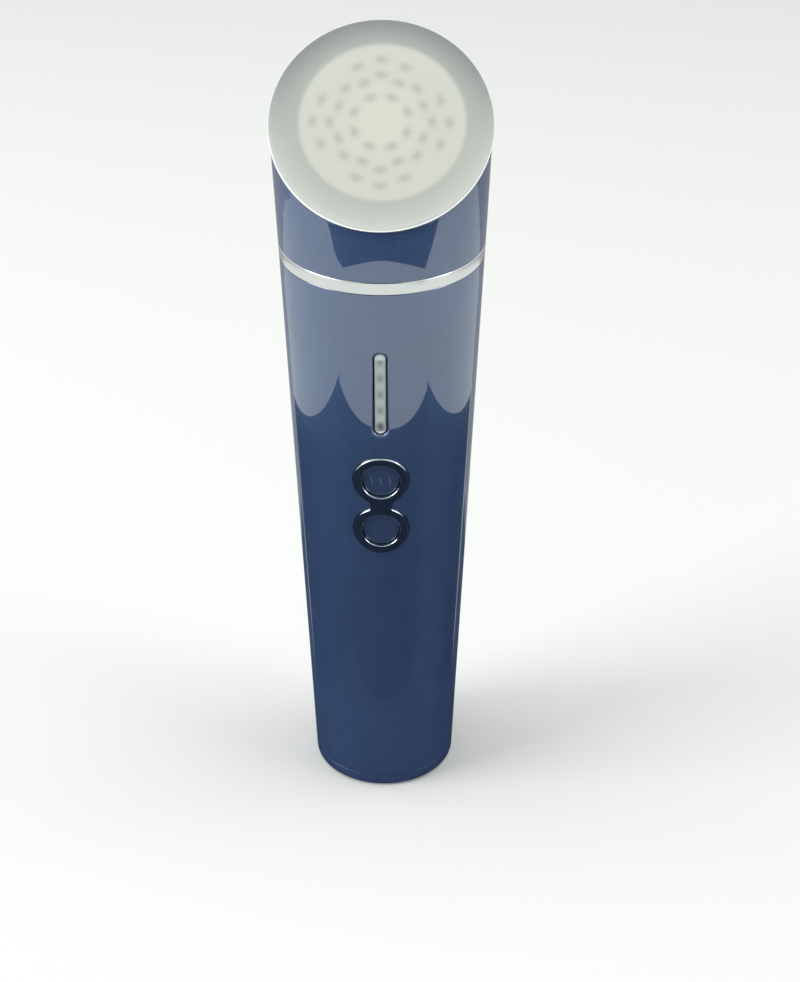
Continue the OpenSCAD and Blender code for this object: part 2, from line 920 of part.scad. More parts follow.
module indicator_lights() {
  color("#e9e4b8")
    at_indicators(board_depth)
      translate([0, 0, indicator_h / 2])
        cube([indicator_w, indicator_w, indicator_h], center = true);
}

// Raised bezel in the outline of a figure eight, with a bore for each button
module button_bezel() {
  color("#1d2740")
    difference() {
      union() {
        intersection() {
          on_front(panel_z, bezel_back)
            linear_extrude(bezel_back + 2 * past)
              figure_eight(0);
          body_band(cap_h, ring_low, bezel_proud);
        }
        intersection() {
          on_front(panel_z, bezel_back)
            linear_extrude(bezel_back)
              slot_2d(2 * (lobe_r + bezel_flange), button_pitch + 2 * (lobe_r + bezel_flange));
          body_band(cap_h, ring_low, -wall - lie);
        }
      }
      for (z = button_z)
        on_front(z, bezel_back + past)
          cylinder(h = bezel_back + 3 * past, r = button_d / 2 + button_gap);
    }
}

// Push button: a cap that follows the body's curve, a flange that stops it, and a stem
module push_button(z) {
  color("#2b3d63") {
    intersection() {
      on_front(z, flange_depth + flange_t)
        cylinder(h = flange_depth + flange_t, d = button_d);
      body_band(cap_h, ring_low, -button_recess);
    }
    on_front(z, flange_depth + flange_t)
      cylinder(h = flange_t, r = button_d / 2 + flange_wide);
    on_front(z, stem_depth)
      cylinder(h = stem_depth - flange_depth - flange_t + weld, r = stem_r, $fn = 32);
  }
}

module mode_button() {
  push_button(button_z[0]);
}

module power_button() {
  push_button(button_z[1]);
}

module plunger(z) {
  color("#d8d8d4")
    on_front(z, stem_depth + plunger_l)
      cylinder(h = plunger_l, r = plunger_r, $fn = 32);
}

module mode_plunger() {
  plunger(button_z[0]);
}

module power_plunger() {
  plunger(button_z[1]);
}

// Switch body with a bore that its plunger slides in
module switch_body(z) {
  color("#2a2a2c")
    difference() {
      on_front(z, board_depth)
        translate([0, 0, switch_h / 2])
          cube([switch_w, switch_w, switch_h], center = true);
      on_front(z, switch_depth + switch_bore)
        cylinder(h = switch_bore + past, r = plunger_r + lie, $fn = 32);
    }
}

module mode_switch() {
  switch_body(button_z[0]);
}

module power_switch() {
  switch_body(button_z[1]);
}

module main_board() {
  color("#1f5a3a")
    difference() {
      on_front(board_z, board_back)
        translate([0, 0, board_t / 2])
          cube([board_w, board_l, board_t], center = true);
      at_board_screws(board_back + past)
        cylinder(h = board_t + 2 * past, r = screw_r + grip, $fn = 32);
    }
}

module board_screws() {
  color("#c8cace")
    at_board_screws(board_depth)
      screw(board_t + clear + spine_t + board_grip);
}

// Flat part on the front of the main board, at a distance from the board's middle
module on_board(x, up, size) {
  on_front(board_z, board_depth)
    translate([x, up, size[2] / 2])
      cube(size, center = true);
}

module control_chip() {
  color("#242426")
    on_board(chip_x, chip_up, [chip_w, chip_w, chip_t]);
}

module power_chip() {
  color("#242426")
    on_board(-chip_x, chip_up, [chip_w, chip_w, chip_t]);
}

module coil() {
  color("#4a4a4e")
    on_board(-chip_x, coil_up, [chip_w, chip_w, coil_t]);
}

module capacitors() {
  color("#a8895c")
    for (i = [0:2])
      on_front(board_z, board_depth)
        translate([chip_x, coil_up + (i - 0.5) * capacitor_pitch, 0])
          cylinder(h = coil_t, r = capacitor_r, $fn = 32);
}

// Connector on the back of the main board
module rear_connector(up, size) {
  on_front(board_z, board_back + size[2])
    translate([0, up, size[2] / 2])
      cube(size, center = true);
}

module ribbon_connector() {
  color("#e4e0d4")
    rear_connector(ribbon_up, [ribbon_w + 2, ribbon_connector_l, ribbon_connector_t]);
}

module head_connector() {
  color("#e4e0d4")
    rear_connector(head_up, [connector_w, connector_l, connector_t]);
}

module battery_connector() {
  color("#e4e0d4")
    rear_connector((battery_window_z - board_z) / cos(taper), [connector_w, connector_l, connector_t]);
}

module charge_connector() {
  color("#e4e0d4")
    on_board(charge_x, charge_up, [charge_w, charge_l, connector_t]);
}

// Chassis: spine behind the board, cradle round the battery, ears above and legs below
module chassis() {
  spine_low = board_z - board_l / 2;
  spine_l = (ear_top - spine_low) / cos(taper);
  spine_y = front_point(0, ear_top, spine_depth)[1];
  color("#4a4d52")
    difference() {
      union() {
        on_front(spine_low, spine_depth + spine_t)
          translate([-spine_w / 2, 0, 0])
            cube([spine_w, spine_l, spine_t]);
        at_board_screws(spine_depth + spine_t + boss_l)
          cylinder(h = boss_l + spine_t + clear, r = boss_r, $fn = 32);
        difference() {
          translate([0, cell_back, cradle_low])
            cylinder(h = cradle_high - cradle_low, r = cradle_r);
          on_front(spine_low - clear, spine_depth)
            translate([-ring_d, 0, 0])
              cube(2 * ring_d);
        }
        at_legs(cap_floor)
          cylinder(h = cradle_low + leg_in - cap_floor, r = leg_r, $fn = 32);
        at_neck_bosses(ear_top - ear_t)
          cylinder(h = ear_t, r = ear_r, $fn = 32);
        for (s = [-1, 1])
          translate([s * (spine_w / 2 - ear_w / 5) - ear_w / 2, spine_y + spine_t / 4, ear_top - ear_t])
            cube([ear_w, neck_boss_y - spine_y, ear_t]);
      }
      translate([-ring_d, -ring_d, ear_top])
        cube(2 * ring_d);
      translate([0, cell_back, cell_z - tab_t])
        cylinder(h = cradle_high - cradle_end_t - cell_z + tab_t, r = cradle_in);
      translate([0, cell_back, cradle_low - past])
        cylinder(h = 2 * past + cell_z - cradle_low, r = cell_r - cradle_rest);
      translate([0, cell_back, cradle_high - cradle_end_t - past])
        cylinder(h = 2 * past + cradle_end_t, r = cell_r / 2);
      translate([-ring_d / 2, cell_back + cradle_lip, cradle_low - past])
        cube([ring_d, ring_d, cradle_high - cradle_low + 2 * past]);
      on_front(arm_z, spine_depth + spine_t + past)
        translate([-arm_gap / 2, 0, 0])
          cube([arm_gap, spine_l, spine_t + 2 * past]);
      on_front(battery_window_z, spine_depth + spine_t / 2)
        cube([battery_window_w, battery_window_l, spine_t + 2 * past], center = true);
      at_board_screws(spine_depth + spine_t + boss_l + past)
        cylinder(h = boss_l + spine_t + clear + 2 * past, r = screw_r + grip, $fn = 32);
      at_neck_bosses(ear_top - ear_t - past)
        cylinder(h = ear_t + 2 * past, r = screw_r + grip, $fn = 32);
      at_legs(cap_floor - past)
        cylinder(h = base_grip + past + past, r = screw_r + grip, $fn = 32);
      translate([-socket_board_w / 2 - fit, socket_board_y - lie, cap_floor - past])
        cube([socket_board_w + 2 * fit, socket_board_t + 2 * lie,
              socket_board_top - cap_floor + past + fit]);
    }
}

module battery_cell() {
  color("#3f6fb0")
    translate([0, cell_back, cell_z])
      cylinder(h = cell_l, d = cell_d);
}

// Nickel tabs: one on the cell's upper end, one under it and up its back
module battery_tabs() {
  color("#c9c6bd") {
    translate([-tab_w / 2, cell_back - tab_w / 2, cell_z + cell_l])
      cube([tab_w, tab_w, tab_t]);
    translate([-tab_w / 2, cell_back - tab_w / 2, cell_z - tab_t])
      cube([tab_w, tab_w / 2 + cell_r + tab_t, tab_t]);
    translate([-tab_w / 2, cell_back + cell_r, cell_z - tab_t])
      cube([tab_w, tab_t, cell_l]);
  }
}

// Bands that hold the cell in its cradle
module battery_bands() {
  color("#17171a")
    for (z = band_places)
      translate([0, cell_back, z])
        difference() {
          cylinder(h = band_w, r = cradle_r + grip + band_t);
          translate([0, 0, -past])
            cylinder(h = band_w + 2 * past, r = cradle_r + grip);
        }
}

// Charging socket: thin shell, closed at the back, with a tongue inside
module charging_socket() {
  color("#c4c7cb") {
    difference() {
      translate([0, 0, socket_in])
        linear_extrude(socket_l)
          socket_2d(0);
      translate([0, 0, socket_in - past])
        linear_extrude(socket_l + past - socket_end_t)
          socket_2d(-socket_wall);
    }
    translate([-tongue_w / 2, -tongue_t / 2, socket_in + tongue_in])
      cube([tongue_w, tongue_t, socket_l - tongue_in - socket_end_t / 2]);
  }
}

module socket_board() {
  color("#1f5a3a")
    translate([-socket_board_w / 2, socket_board_y, cap_floor + fit])
      cube([socket_board_w, socket_board_t, socket_board_top - cap_floor - fit]);
}

module base_screws() {
  color("#c8cace")
    at_legs(screw_sink)
      rotate([180, 0, 0])
        screw(cap_floor - screw_sink + base_grip);
}

// Flat ribbon from the light board to the main board, drawn as a strip in the YZ plane
module light_ribbon() {
  depth = board_back + ribbon_connector_t / 2;
  route = curve([
    for (p = [
      face_point(0, ribbon_y, plate_depth + fit),
      face_point(0, ribbon_y, frame_depth),
      face_point(0, ribbon_y, frame_back + ribbon_room / 2),
      front_point(0, ring_z, depth),
      board_point(0, board_l / 2 + ribbon_straight, depth),
      board_point(0, board_l / 2 - ribbon_end, depth)])
    [p[1], p[2]]], 8);
  last = len(route) - 1;
  side = [for (i = [0:last])
    let (along = unit(route[min(i + 1, last)] - route[max(i - 1, 0)]))
    ribbon_t / 2 * [-along[1], along[0]]];
  color("#c98a3c")
    rotate([90, 0, 90])
      linear_extrude(ribbon_w, center = true)
        polygon(concat(
          [for (i = [0:last]) route[i] + side[i]],
          [for (i = [last:-1:0]) route[i] - side[i]]));
}

// Leads from the thermoelectric module down to the upper connector behind the board
module thermo_leads() {
  edge = rear_pad_depth - ceramic_t + fit;
  depth = board_back + connector_t / 2 + clear;
  plug = head_up + connector_l / 2;
  color("#b02a2a")
    for (s = [-1, 1])
      lead(curve([
        face_point(s * lead_x, -module_w / 2 - lie, edge),
        face_point(s * lead_x, -module_w / 2 - lead_bend, edge + lead_r),
        front_point(s * lead_x, ring_z + lead_bend, depth),
        board_point(s * lead_x, plug + 3 * lead_bend, depth),
        board_point(s * lead_x, plug + lie, depth)], 6));
}

// Leads from the cell's two tabs to the connector in the spine's window
module battery_leads() {
  top = cell_z + cell_l + tab_t + 2 * fit;
  back = front_point(0, battery_window_z, board_back + connector_t)[1] + 2 * fit;
  rear = cell_back + cell_r + tab_t + lead_r;
  color("#b02a2a") {
    lead(curve([
      [0, cell_back, top],
      [lead_spread / 4, cell_back - lead_bow / 4, top + lead_bow],
      [lead_spread, cell_back - lead_bow, battery_window_z - lead_bow / 2],
      [lead_spread, back + lead_bow / 2, battery_window_z],
      [lead_spread, back, battery_window_z]], 6));
    lead(curve([
      [0, rear, top - 2 * lead_bow],
      [0, rear, top],
      [-lead_spread / 2, rear - lead_bow, battery_window_z],
      [-lead_spread, back + lead_bow, battery_window_z + lead_r],
      [-lead_spread, back, battery_window_z]], 6));
  }
}

// Leads from the socket's board, in front of the cradle, to the connector beside the lower switch
module charge_leads() {
  front = cell_back - cradle_r - lead_out;
  depth = board_depth - 0.6 * connector_t;
  spread = charge_w / 4;
  color("#b02a2a")
    for (s = [-1, 1])
      lead(curve([
        [s * lead_x, socket_board_y - fit, socket_board_top - lead_bend - lead_r],
        [s * lead_x, socket_board_y - lead_bend - lead_r, socket_board_top - lead_bend],
        [s * lead_x, front + lead_r, cradle_low],
        [s * lead_x, front, cradle_low + 3 * lead_bend],
        [(s * lead_x + charge_x) / 2, front, cell_z + cell_l / 2],
        board_point(charge_x + s * spread, -board_l / 2 - 2 * lead_bend, depth),
        board_point(charge_x + s * spread, charge_up - charge_l / 2 - fit, depth)], 5));
}

handle_shell();
head_shell();
trim_ring();
base_cap();
base_seal();
face_cover();
face_seal();
contact_plate();
light_board();
face_lights();
front_thermal_pad();
thermo_plates();
thermo_pellets();
rear_thermal_pad();
heat_sink();
heat_sensor();
head_frame();
sink_screws();
head_frame_screws();
neck_frame();
neck_screws();
indicator_window();
light_shield();
indicator_lights();
button_bezel();
mode_button();
power_button();
mode_plunger();
power_plunger();
mode_switch();
power_switch();
main_board();
board_screws();
control_chip();
power_chip();
coil();
capacitors();
ribbon_connector();
head_connector();
battery_connector();
charge_connector();
chassis();
battery_cell();
battery_tabs();
battery_bands();
charging_socket();
socket_board();
base_screws();
light_ribbon();
thermo_leads();
battery_leads();
charge_leads();
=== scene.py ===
import math

import bmesh
import bpy
from mathutils import Matrix, Vector
from mathutils.geometry import delaunay_2d_cdt


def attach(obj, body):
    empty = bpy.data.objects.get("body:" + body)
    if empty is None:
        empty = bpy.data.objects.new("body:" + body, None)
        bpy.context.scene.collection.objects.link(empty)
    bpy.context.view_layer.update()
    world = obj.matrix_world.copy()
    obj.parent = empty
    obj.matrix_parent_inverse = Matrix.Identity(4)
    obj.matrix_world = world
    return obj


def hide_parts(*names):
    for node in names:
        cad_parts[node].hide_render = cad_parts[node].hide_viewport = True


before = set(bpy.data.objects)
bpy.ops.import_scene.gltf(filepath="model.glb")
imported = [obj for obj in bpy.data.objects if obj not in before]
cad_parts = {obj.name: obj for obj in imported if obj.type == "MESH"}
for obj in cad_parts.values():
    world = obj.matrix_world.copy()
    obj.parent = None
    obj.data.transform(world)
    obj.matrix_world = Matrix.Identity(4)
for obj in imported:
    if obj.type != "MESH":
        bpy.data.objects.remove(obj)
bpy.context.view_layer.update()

scene = bpy.context.scene

# Sizes of the device in metres. They are the ones its solids were built from.
MM = 0.001
RING_R = 22 * MM
BASE_R = 16.4 * MM
RING_Z = 136 * MM
RING_LOW = 133.2 * MM
WALL = 2 * MM
CAP_H = 3 * MM
CAP_EDGE = 1.2 * MM
SLOPE = (RING_R - BASE_R) / RING_Z
TAPER = math.atan(SLOPE)

FACE_R = 23.1 * MM
FACE_TILT = math.radians(45)
FACE_UP = 27.4 * MM
FACE_FWD = 4.6 * MM
FACE_PROUD = 1.2 * MM
FACE_OVERHANG = 0.3 * MM
FACE_EDGE = 0.5 * MM
COVER_T = 1.6 * MM
SKIRT_DEPTH = 2.9 * MM
SKIRT_T = 1 * MM
SPIGOT_R = 21.4 * MM
REBATE_R = 21.5 * MM
REBATE_DEPTH = 3.2 * MM
RIM_DEPTH = 1.5 * MM
HEAD_BOW = 1.0
FACE = Matrix.Translation((0, -FACE_FWD, RING_Z + FACE_UP)) @ Matrix.Rotation(FACE_TILT, 4, "X")

WINDOW_Z = 109.4 * MM
WINDOW_L = 19.6 * MM
WINDOW_W = 2.5 * MM
WINDOW_GAP = 0.25 * MM
WINDOW_RECESS = 0.3 * MM
INDICATOR_PITCH = 3.95 * MM

PANEL_Z = 81.2 * MM
BUTTON_R = 4 * MM
BUTTON_PITCH = 12.8 * MM
BUTTON_GAP = 0.15 * MM
LOBE_R = 6.05 * MM
WAIST_W = 4.3 * MM
BEZEL_PROUD = 0.4 * MM
BUTTON_RECESS = 0.5 * MM
NECK_FILLET = ((BUTTON_PITCH / 2) ** 2 + (WAIST_W / 2) ** 2 - LOBE_R**2) / (2 * (LOBE_R - WAIST_W / 2))
BUTTON_Z = [PANEL_Z + side * BUTTON_PITCH / 2 * math.cos(TAPER) for side in (1, -1)]

# Bevels and lips that the moulded pieces have
SEAM_GROOVE = 0.12 * MM
HEAD_LIP = 0.15 * MM
RING_EDGE = 0.2 * MM
WINDOW_LIP = 0.45 * MM
BEZEL_LIP = 0.15 * MM
BEZEL_ROOM = 0.1 * MM
MOUTH_EDGE = 0.25 * MM


# Places on the object


def body_r(z):
    """Half width of the tapered body at a height."""
    return BASE_R + SLOPE * z


def on_front(middle_z, x, up, height):
    """The point that stands over (x, up) of the front at middle_z, at a height above the body's cone."""
    right = Vector((1, 0, 0))
    along = Vector((0, -math.sin(TAPER), math.cos(TAPER)))
    outward = Vector((0, -math.cos(TAPER), -math.sin(TAPER)))
    place = Vector((0, -body_r(middle_z), middle_z)) + right * x + along * up
    for _ in range(4):
        miss = body_r(place.z) + height - math.hypot(place.x, place.y)
        place = place + outward * miss / (-place.y / math.hypot(place.x, place.y))
    return place


def raised(middle_z, outline, height):
    """Points of an outline on the front, at a height above the body's cone."""
    return [on_front(middle_z, x, up, height) for x, up in outline]


def cone_normal(place):
    """Outward normal of the tapered body at a place on it."""
    r = math.hypot(place.x, place.y)
    return Vector((place.x / r, place.y / r, -SLOPE)).normalized()


# Outlines as closed lists of (x, up), grown by a distance


def arc(x, y, r, start, stop, steps):
    """Points of an arc, its angles in degrees."""
    turns = [math.radians(start + (stop - start) * i / steps) for i in range(steps)]
    return [(x + r * math.cos(turn), y + r * math.sin(turn)) for turn in turns]


def circle(r, x=0.0, y=0.0, steps=72):
    """Points of a circle."""
    return arc(x, y, r, 0, 360, steps)


def disc(r, up=0.0):
    """Returns the outline of a round shape, as a function of its growth."""
    return lambda grow=0.0: circle(r + grow, 0, up)


def figure_eight(grow=0.0):
    """Outline of the button bezel: two lobes and the fillets of their waist."""
    half = BUTTON_PITCH / 2
    side = WAIST_W / 2 + NECK_FILLET
    turn = math.degrees(math.atan2(half, side))
    neck = NECK_FILLET - grow
    lobe = LOBE_R + grow
    return (
        arc(side, 0, neck, 180 + turn, 180 - turn, 10)
        + arc(0, half, lobe, -turn, 180 + turn, 72)
        + arc(-side, 0, neck, turn, -turn, 10)
        + arc(0, -half, lobe, 180 - turn, 360 + turn, 72)
    )


def slot(width, length):
    """Returns the outline of an upright bar with round ends, as a function of its growth."""
    reach = (length - width) / 2

    def outline(grow=0.0):
        r = width / 2 + grow
        rises = [reach - 2 * reach * i / 12 for i in range(12)]
        sides = [(-r, rise) for rise in rises]
        back = [(r, -rise) for rise in rises]
        return arc(0, reach, r, 0, 180, 16) + sides + arc(0, -reach, r, 180, 360, 16) + back

    return outline


def inside(point, outline):
    """Whether a point lies inside a closed outline."""
    x, y = point
    odd = False
    for (ax, ay), (bx, by) in zip(outline, outline[1:] + outline[:1]):
        if (ay > y) != (by > y) and x < ax + (y - ay) * (bx - ax) / (by - ay):
            odd = not odd
    return odd


def apart(p, q):
    """Distance of two points."""
    return math.hypot(p[0] - q[0], p[1] - q[1])


def triangles(outer, holes, fill=()):
    """Points and triangles of the area inside outer and outside holes, with fill points spread over it."""
    points = []
    edges = []
    for loop in [outer, *holes]:
        first = len(points)
        points += loop
        edges += [(first + i, first + (i + 1) % len(loop)) for i in range(len(loop))]
    points += fill
    found = delaunay_2d_cdt([Vector(p) for p in points], edges, [], 0, 1e-9)
    corners = [tuple(p) for p in found[0]]
    faces = []
    for face in found[2]:
        middle = (sum(corners[i][0] for i in face) / 3, sum(corners[i][1] for i in face) / 3)
        if inside(middle, outer) and not any(inside(middle, hole) for hole in holes):
            faces.append(tuple(face))
    return corners, faces


def spread(outer, holes, pitch, margin):
    """Points of an even grid that lie inside outer, outside holes and away from both."""
    low_x, high_x = min(p[0] for p in outer), max(p[0] for p in outer)
    low_y, high_y = min(p[1] for p in outer), max(p[1] for p in outer)
    loops = [p for loop in [outer, *holes] for p in loop]
    found = []
    for i in range(int((high_x - low_x) / pitch) + 1):
        for j in range(int((high_y - low_y) / pitch) + 1):
            p = (low_x + (i + 0.5) * pitch, low_y + (j + 0.5) * pitch)
            clear = all(apart(p, q) > margin for q in loops)
            if clear and inside(p, outer) and not any(inside(p, hole) for hole in holes):
                found.append(p)
    return found


def fillet(edge, steps=5):
    """Inset and drop of each step of a rounded edge, from its side to its top."""
    turns = [math.radians(90 * i / steps) for i in range(steps + 1)]
    return [(edge * (1 - math.cos(turn)), edge * (1 - math.sin(turn))) for turn in turns]


# Objects and meshes

# Points closer than this are one point
JOIN_REACH = 1e-7
# Points no further than this from a surface lie on it
ON_SURFACE = 2e-7
# Least cosine between a face and a surface's normal for a face of that surface
SAME_SIDE = 0.6


def placed(name, data):
    """A new object in the scene."""
    made = bpy.data.objects.new(name, data)
    scene.collection.objects.link(made)
    return made


def skin(bm, rings):
    """Quads between each closed ring of points and the next."""
    rows = [[bm.verts.new(p) for p in ring] for ring in rings]
    count = len(rows[0])
    for low, high in zip(rows, rows[1:]):
        for i in range(count):
            j = (i + 1) % count
            bm.faces.new((low[i], low[j], high[j], high[i]))
    return rows


def capped_skin(bm, rings):
    """A skin with a face on each end."""
    rows = skin(bm, rings)
    bm.faces.new(rows[0])
    bm.faces.new(rows[-1])


def patch(bm, corners, faces):
    """Faces between corners."""
    made = [bm.verts.new(p) for p in corners]
    for face in faces:
        bm.faces.new([made[i] for i in face])


def sew(bm):
    """Joins the parts of a shape along their common edges and turns its faces outwards."""
    bmesh.ops.remove_doubles(bm, verts=bm.verts, dist=JOIN_REACH)
    bmesh.ops.dissolve_degenerate(bm, dist=JOIN_REACH, edges=bm.edges)
    bmesh.ops.recalc_face_normals(bm, faces=bm.faces)


def true_normals(mesh, surface):
    """Gives the corners that lie on a known surface its exact normals. surface(place) is a normal or None."""
    known = [surface(v.co) for v in mesh.vertices]
    normals = [(0, 0, 0)] * len(mesh.loops)
    for face in mesh.polygons:
        for i in face.loop_indices:
            normal = known[mesh.loops[i].vertex_index]
            if normal is not None and normal.dot(face.normal) > SAME_SIDE:
                normals[i] = normal
    mesh.normals_split_custom_set(normals)


def on_cone(height):
    """Returns the normal of the body's cone at a height above it, for the places that lie there."""

    def surface(place):
        miss = math.hypot(place.x, place.y) - body_r(place.z) - height
        return cone_normal(place) if abs(miss) < ON_SURFACE else None

    return surface


def give(mesh, material):
    """Makes a material the only one of a mesh."""
    mesh.materials.clear()
    mesh.materials.append(material)


def piece(name, mesh, material, body, nodes=(), sharp=40):
    """A finished piece on a body, smooth but for its sharp corners, standing for the solids named."""
    for face in mesh.polygons:
        face.use_smooth = True
    mesh.set_sharp_from_angle(angle=math.radians(sharp))
    give(mesh, material)
    made = placed(name, mesh)
    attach(made, body)
    if nodes:
        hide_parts(*nodes)
    return made


def sewn(name, bm):
    """The mesh of a shape whose parts are all made."""
    sew(bm)
    mesh = bpy.data.meshes.new(name)
    bm.to_mesh(mesh)
    bm.free()
    return mesh


def plate(bm, middle_z, outline, top, edge, back, holes=(), pitch=0.8 * MM):
    """A plate on the body's cone: a flat back, and rounded top edges outside and round its holes."""
    steps = fillet(edge)
    outer = outline(-edge)
    inner = [hole(edge) for hole in holes]
    corners, faces = triangles(outer, inner, spread(outer, inner, pitch, pitch / 2))
    patch(bm, raised(middle_z, corners, top), faces)
    for shape, side in [(outline, -1), *[(hole, 1) for hole in holes]]:
        rings = [raised(middle_z, shape(side * inset), top - drop) for inset, drop in steps]
        skin(bm, [raised(middle_z, shape(0), back), *rings])
    floor, faces = triangles(outline(0), [hole(0) for hole in holes])
    patch(bm, raised(middle_z, floor, back), faces)


# Geometry Nodes


def step(tree, kind, *inputs, **settings):
    """Adds a node to a tree, feeds its inputs in order and returns it."""
    node = tree.nodes.new(kind)
    for key, value in settings.items():
        setattr(node, key, value)
    for socket, value in zip(node.inputs, inputs):
        if isinstance(value, bpy.types.NodeSocket):
            tree.links.new(value, socket)
        elif value is not None:
            socket.default_value = value
    return node


def maths(tree, operation, a, b=None):
    """Output of a Math node."""
    return step(tree, "ShaderNodeMath", a, b, operation=operation).outputs[0]


def plus(tree, a, b):
    """Sum of two values."""
    return maths(tree, "ADD", a, b)


def minus(tree, a, b):
    """Difference of two values."""
    return maths(tree, "SUBTRACT", a, b)


def times(tree, a, b):
    """Product of two values."""
    return maths(tree, "MULTIPLY", a, b)


def rest_of(tree, share):
    """What a share leaves of 1."""
    return minus(tree, 1.0, share)


def vectors(tree, operation, a, b=None, scale=None):
    """Output of a Vector Math node."""
    node = step(tree, "ShaderNodeVectorMath", a, b, None, scale, operation=operation)
    return node.outputs["Value" if operation in ("LENGTH", "DOT_PRODUCT") else "Vector"]


def scaled(tree, vector, scale):
    """A vector times a value."""
    return vectors(tree, "SCALE", vector, scale=scale)


def combine(tree, x, y, z):
    """Vector of three values."""
    return step(tree, "ShaderNodeCombineXYZ", x, y, z).outputs[0]


def split(tree, vector):
    """The three values of a vector."""
    return step(tree, "ShaderNodeSeparateXYZ", vector).outputs


def position(tree):
    """Place of each point of a mesh."""
    return tree.nodes.new("GeometryNodeInputPosition").outputs[0]


def shape_tree(name, sizes):
    """A new Geometry Nodes tree with named sizes. Returns it, its inputs by name and its output node."""
    tree = bpy.data.node_groups.new(name, "GeometryNodeTree")
    tree.interface.new_socket("Geometry", in_out="INPUT", socket_type="NodeSocketGeometry")
    for label, value in sizes.items():
        whole = isinstance(value, int)
        kind = "NodeSocketInt" if whole else "NodeSocketFloat"
        tree.interface.new_socket(label, in_out="INPUT", socket_type=kind).default_value = value
    tree.interface.new_socket("Material", in_out="INPUT", socket_type="NodeSocketMaterial")
    tree.interface.new_socket("Geometry", in_out="OUTPUT", socket_type="NodeSocketGeometry")
    entry = tree.nodes.new("NodeGroupInput")
    leave = tree.nodes.new("NodeGroupOutput")
    return tree, {socket.name: socket for socket in entry.outputs}, leave


def end_tree(tree, given, leave, geometry):
    """Ends a tree in Realize Instances and Set Material."""
    real = step(tree, "GeometryNodeRealizeInstances", geometry).outputs[0]
    node = step(tree, "GeometryNodeSetMaterial", real, None, given["Material"])
    tree.links.new(node.outputs[0], leave.inputs[0])


def grown(tree, seed, material):
    """The plain mesh that a tree makes from a seed mesh, in the tree's own sizes."""
    carrier = placed("carrier", seed)
    modifier = carrier.modifiers.new("Shape", "NODES")
    modifier.node_group = tree
    modifier[tree.interface.items_tree["Material"].identifier] = material
    evaluated = carrier.evaluated_get(bpy.context.evaluated_depsgraph_get())
    mesh = bpy.data.meshes.new_from_object(evaluated)
    bpy.data.objects.remove(carrier)
    bm = bmesh.new()
    bm.from_mesh(mesh)
    sew(bm)
    bm.to_mesh(mesh)
    bm.free()
    return mesh


def turned_tree():
    """Turns a profile of points (radius, 0, height) about the Z axis."""
    tree, given, leave = shape_tree("turned_piece", {"Segments": 160})
    profile = given["Geometry"]
    count = step(tree, "GeometryNodeAttributeDomainSize", profile).outputs["Point Count"]
    last = minus(tree, count, 1.0)
    across = plus(tree, given["Segments"], 1.0)
    grid = step(tree, "GeometryNodeMeshGrid", 1.0, last, across, count)
    place = split(tree, position(tree))
    turn = times(tree, plus(tree, place[0], 0.5), 2 * math.pi)
    row = maths(tree, "ROUND", plus(tree, place[1], times(tree, last, 0.5)))
    sample = tree.nodes.new("GeometryNodeSampleIndex")
    sample.data_type = "FLOAT_VECTOR"
    tree.links.new(profile, sample.inputs["Geometry"])
    tree.links.new(position(tree), sample.inputs["Value"])
    tree.links.new(row, sample.inputs["Index"])
    point = split(tree, sample.outputs[0])
    x = times(tree, point[0], maths(tree, "COSINE", turn))
    y = times(tree, point[0], maths(tree, "SINE", turn))
    spun = combine(tree, x, y, point[2])
    moved = step(tree, "GeometryNodeSetPosition", grid.outputs["Mesh"], None, spun)
    end_tree(tree, given, leave, moved.outputs[0])
    return tree


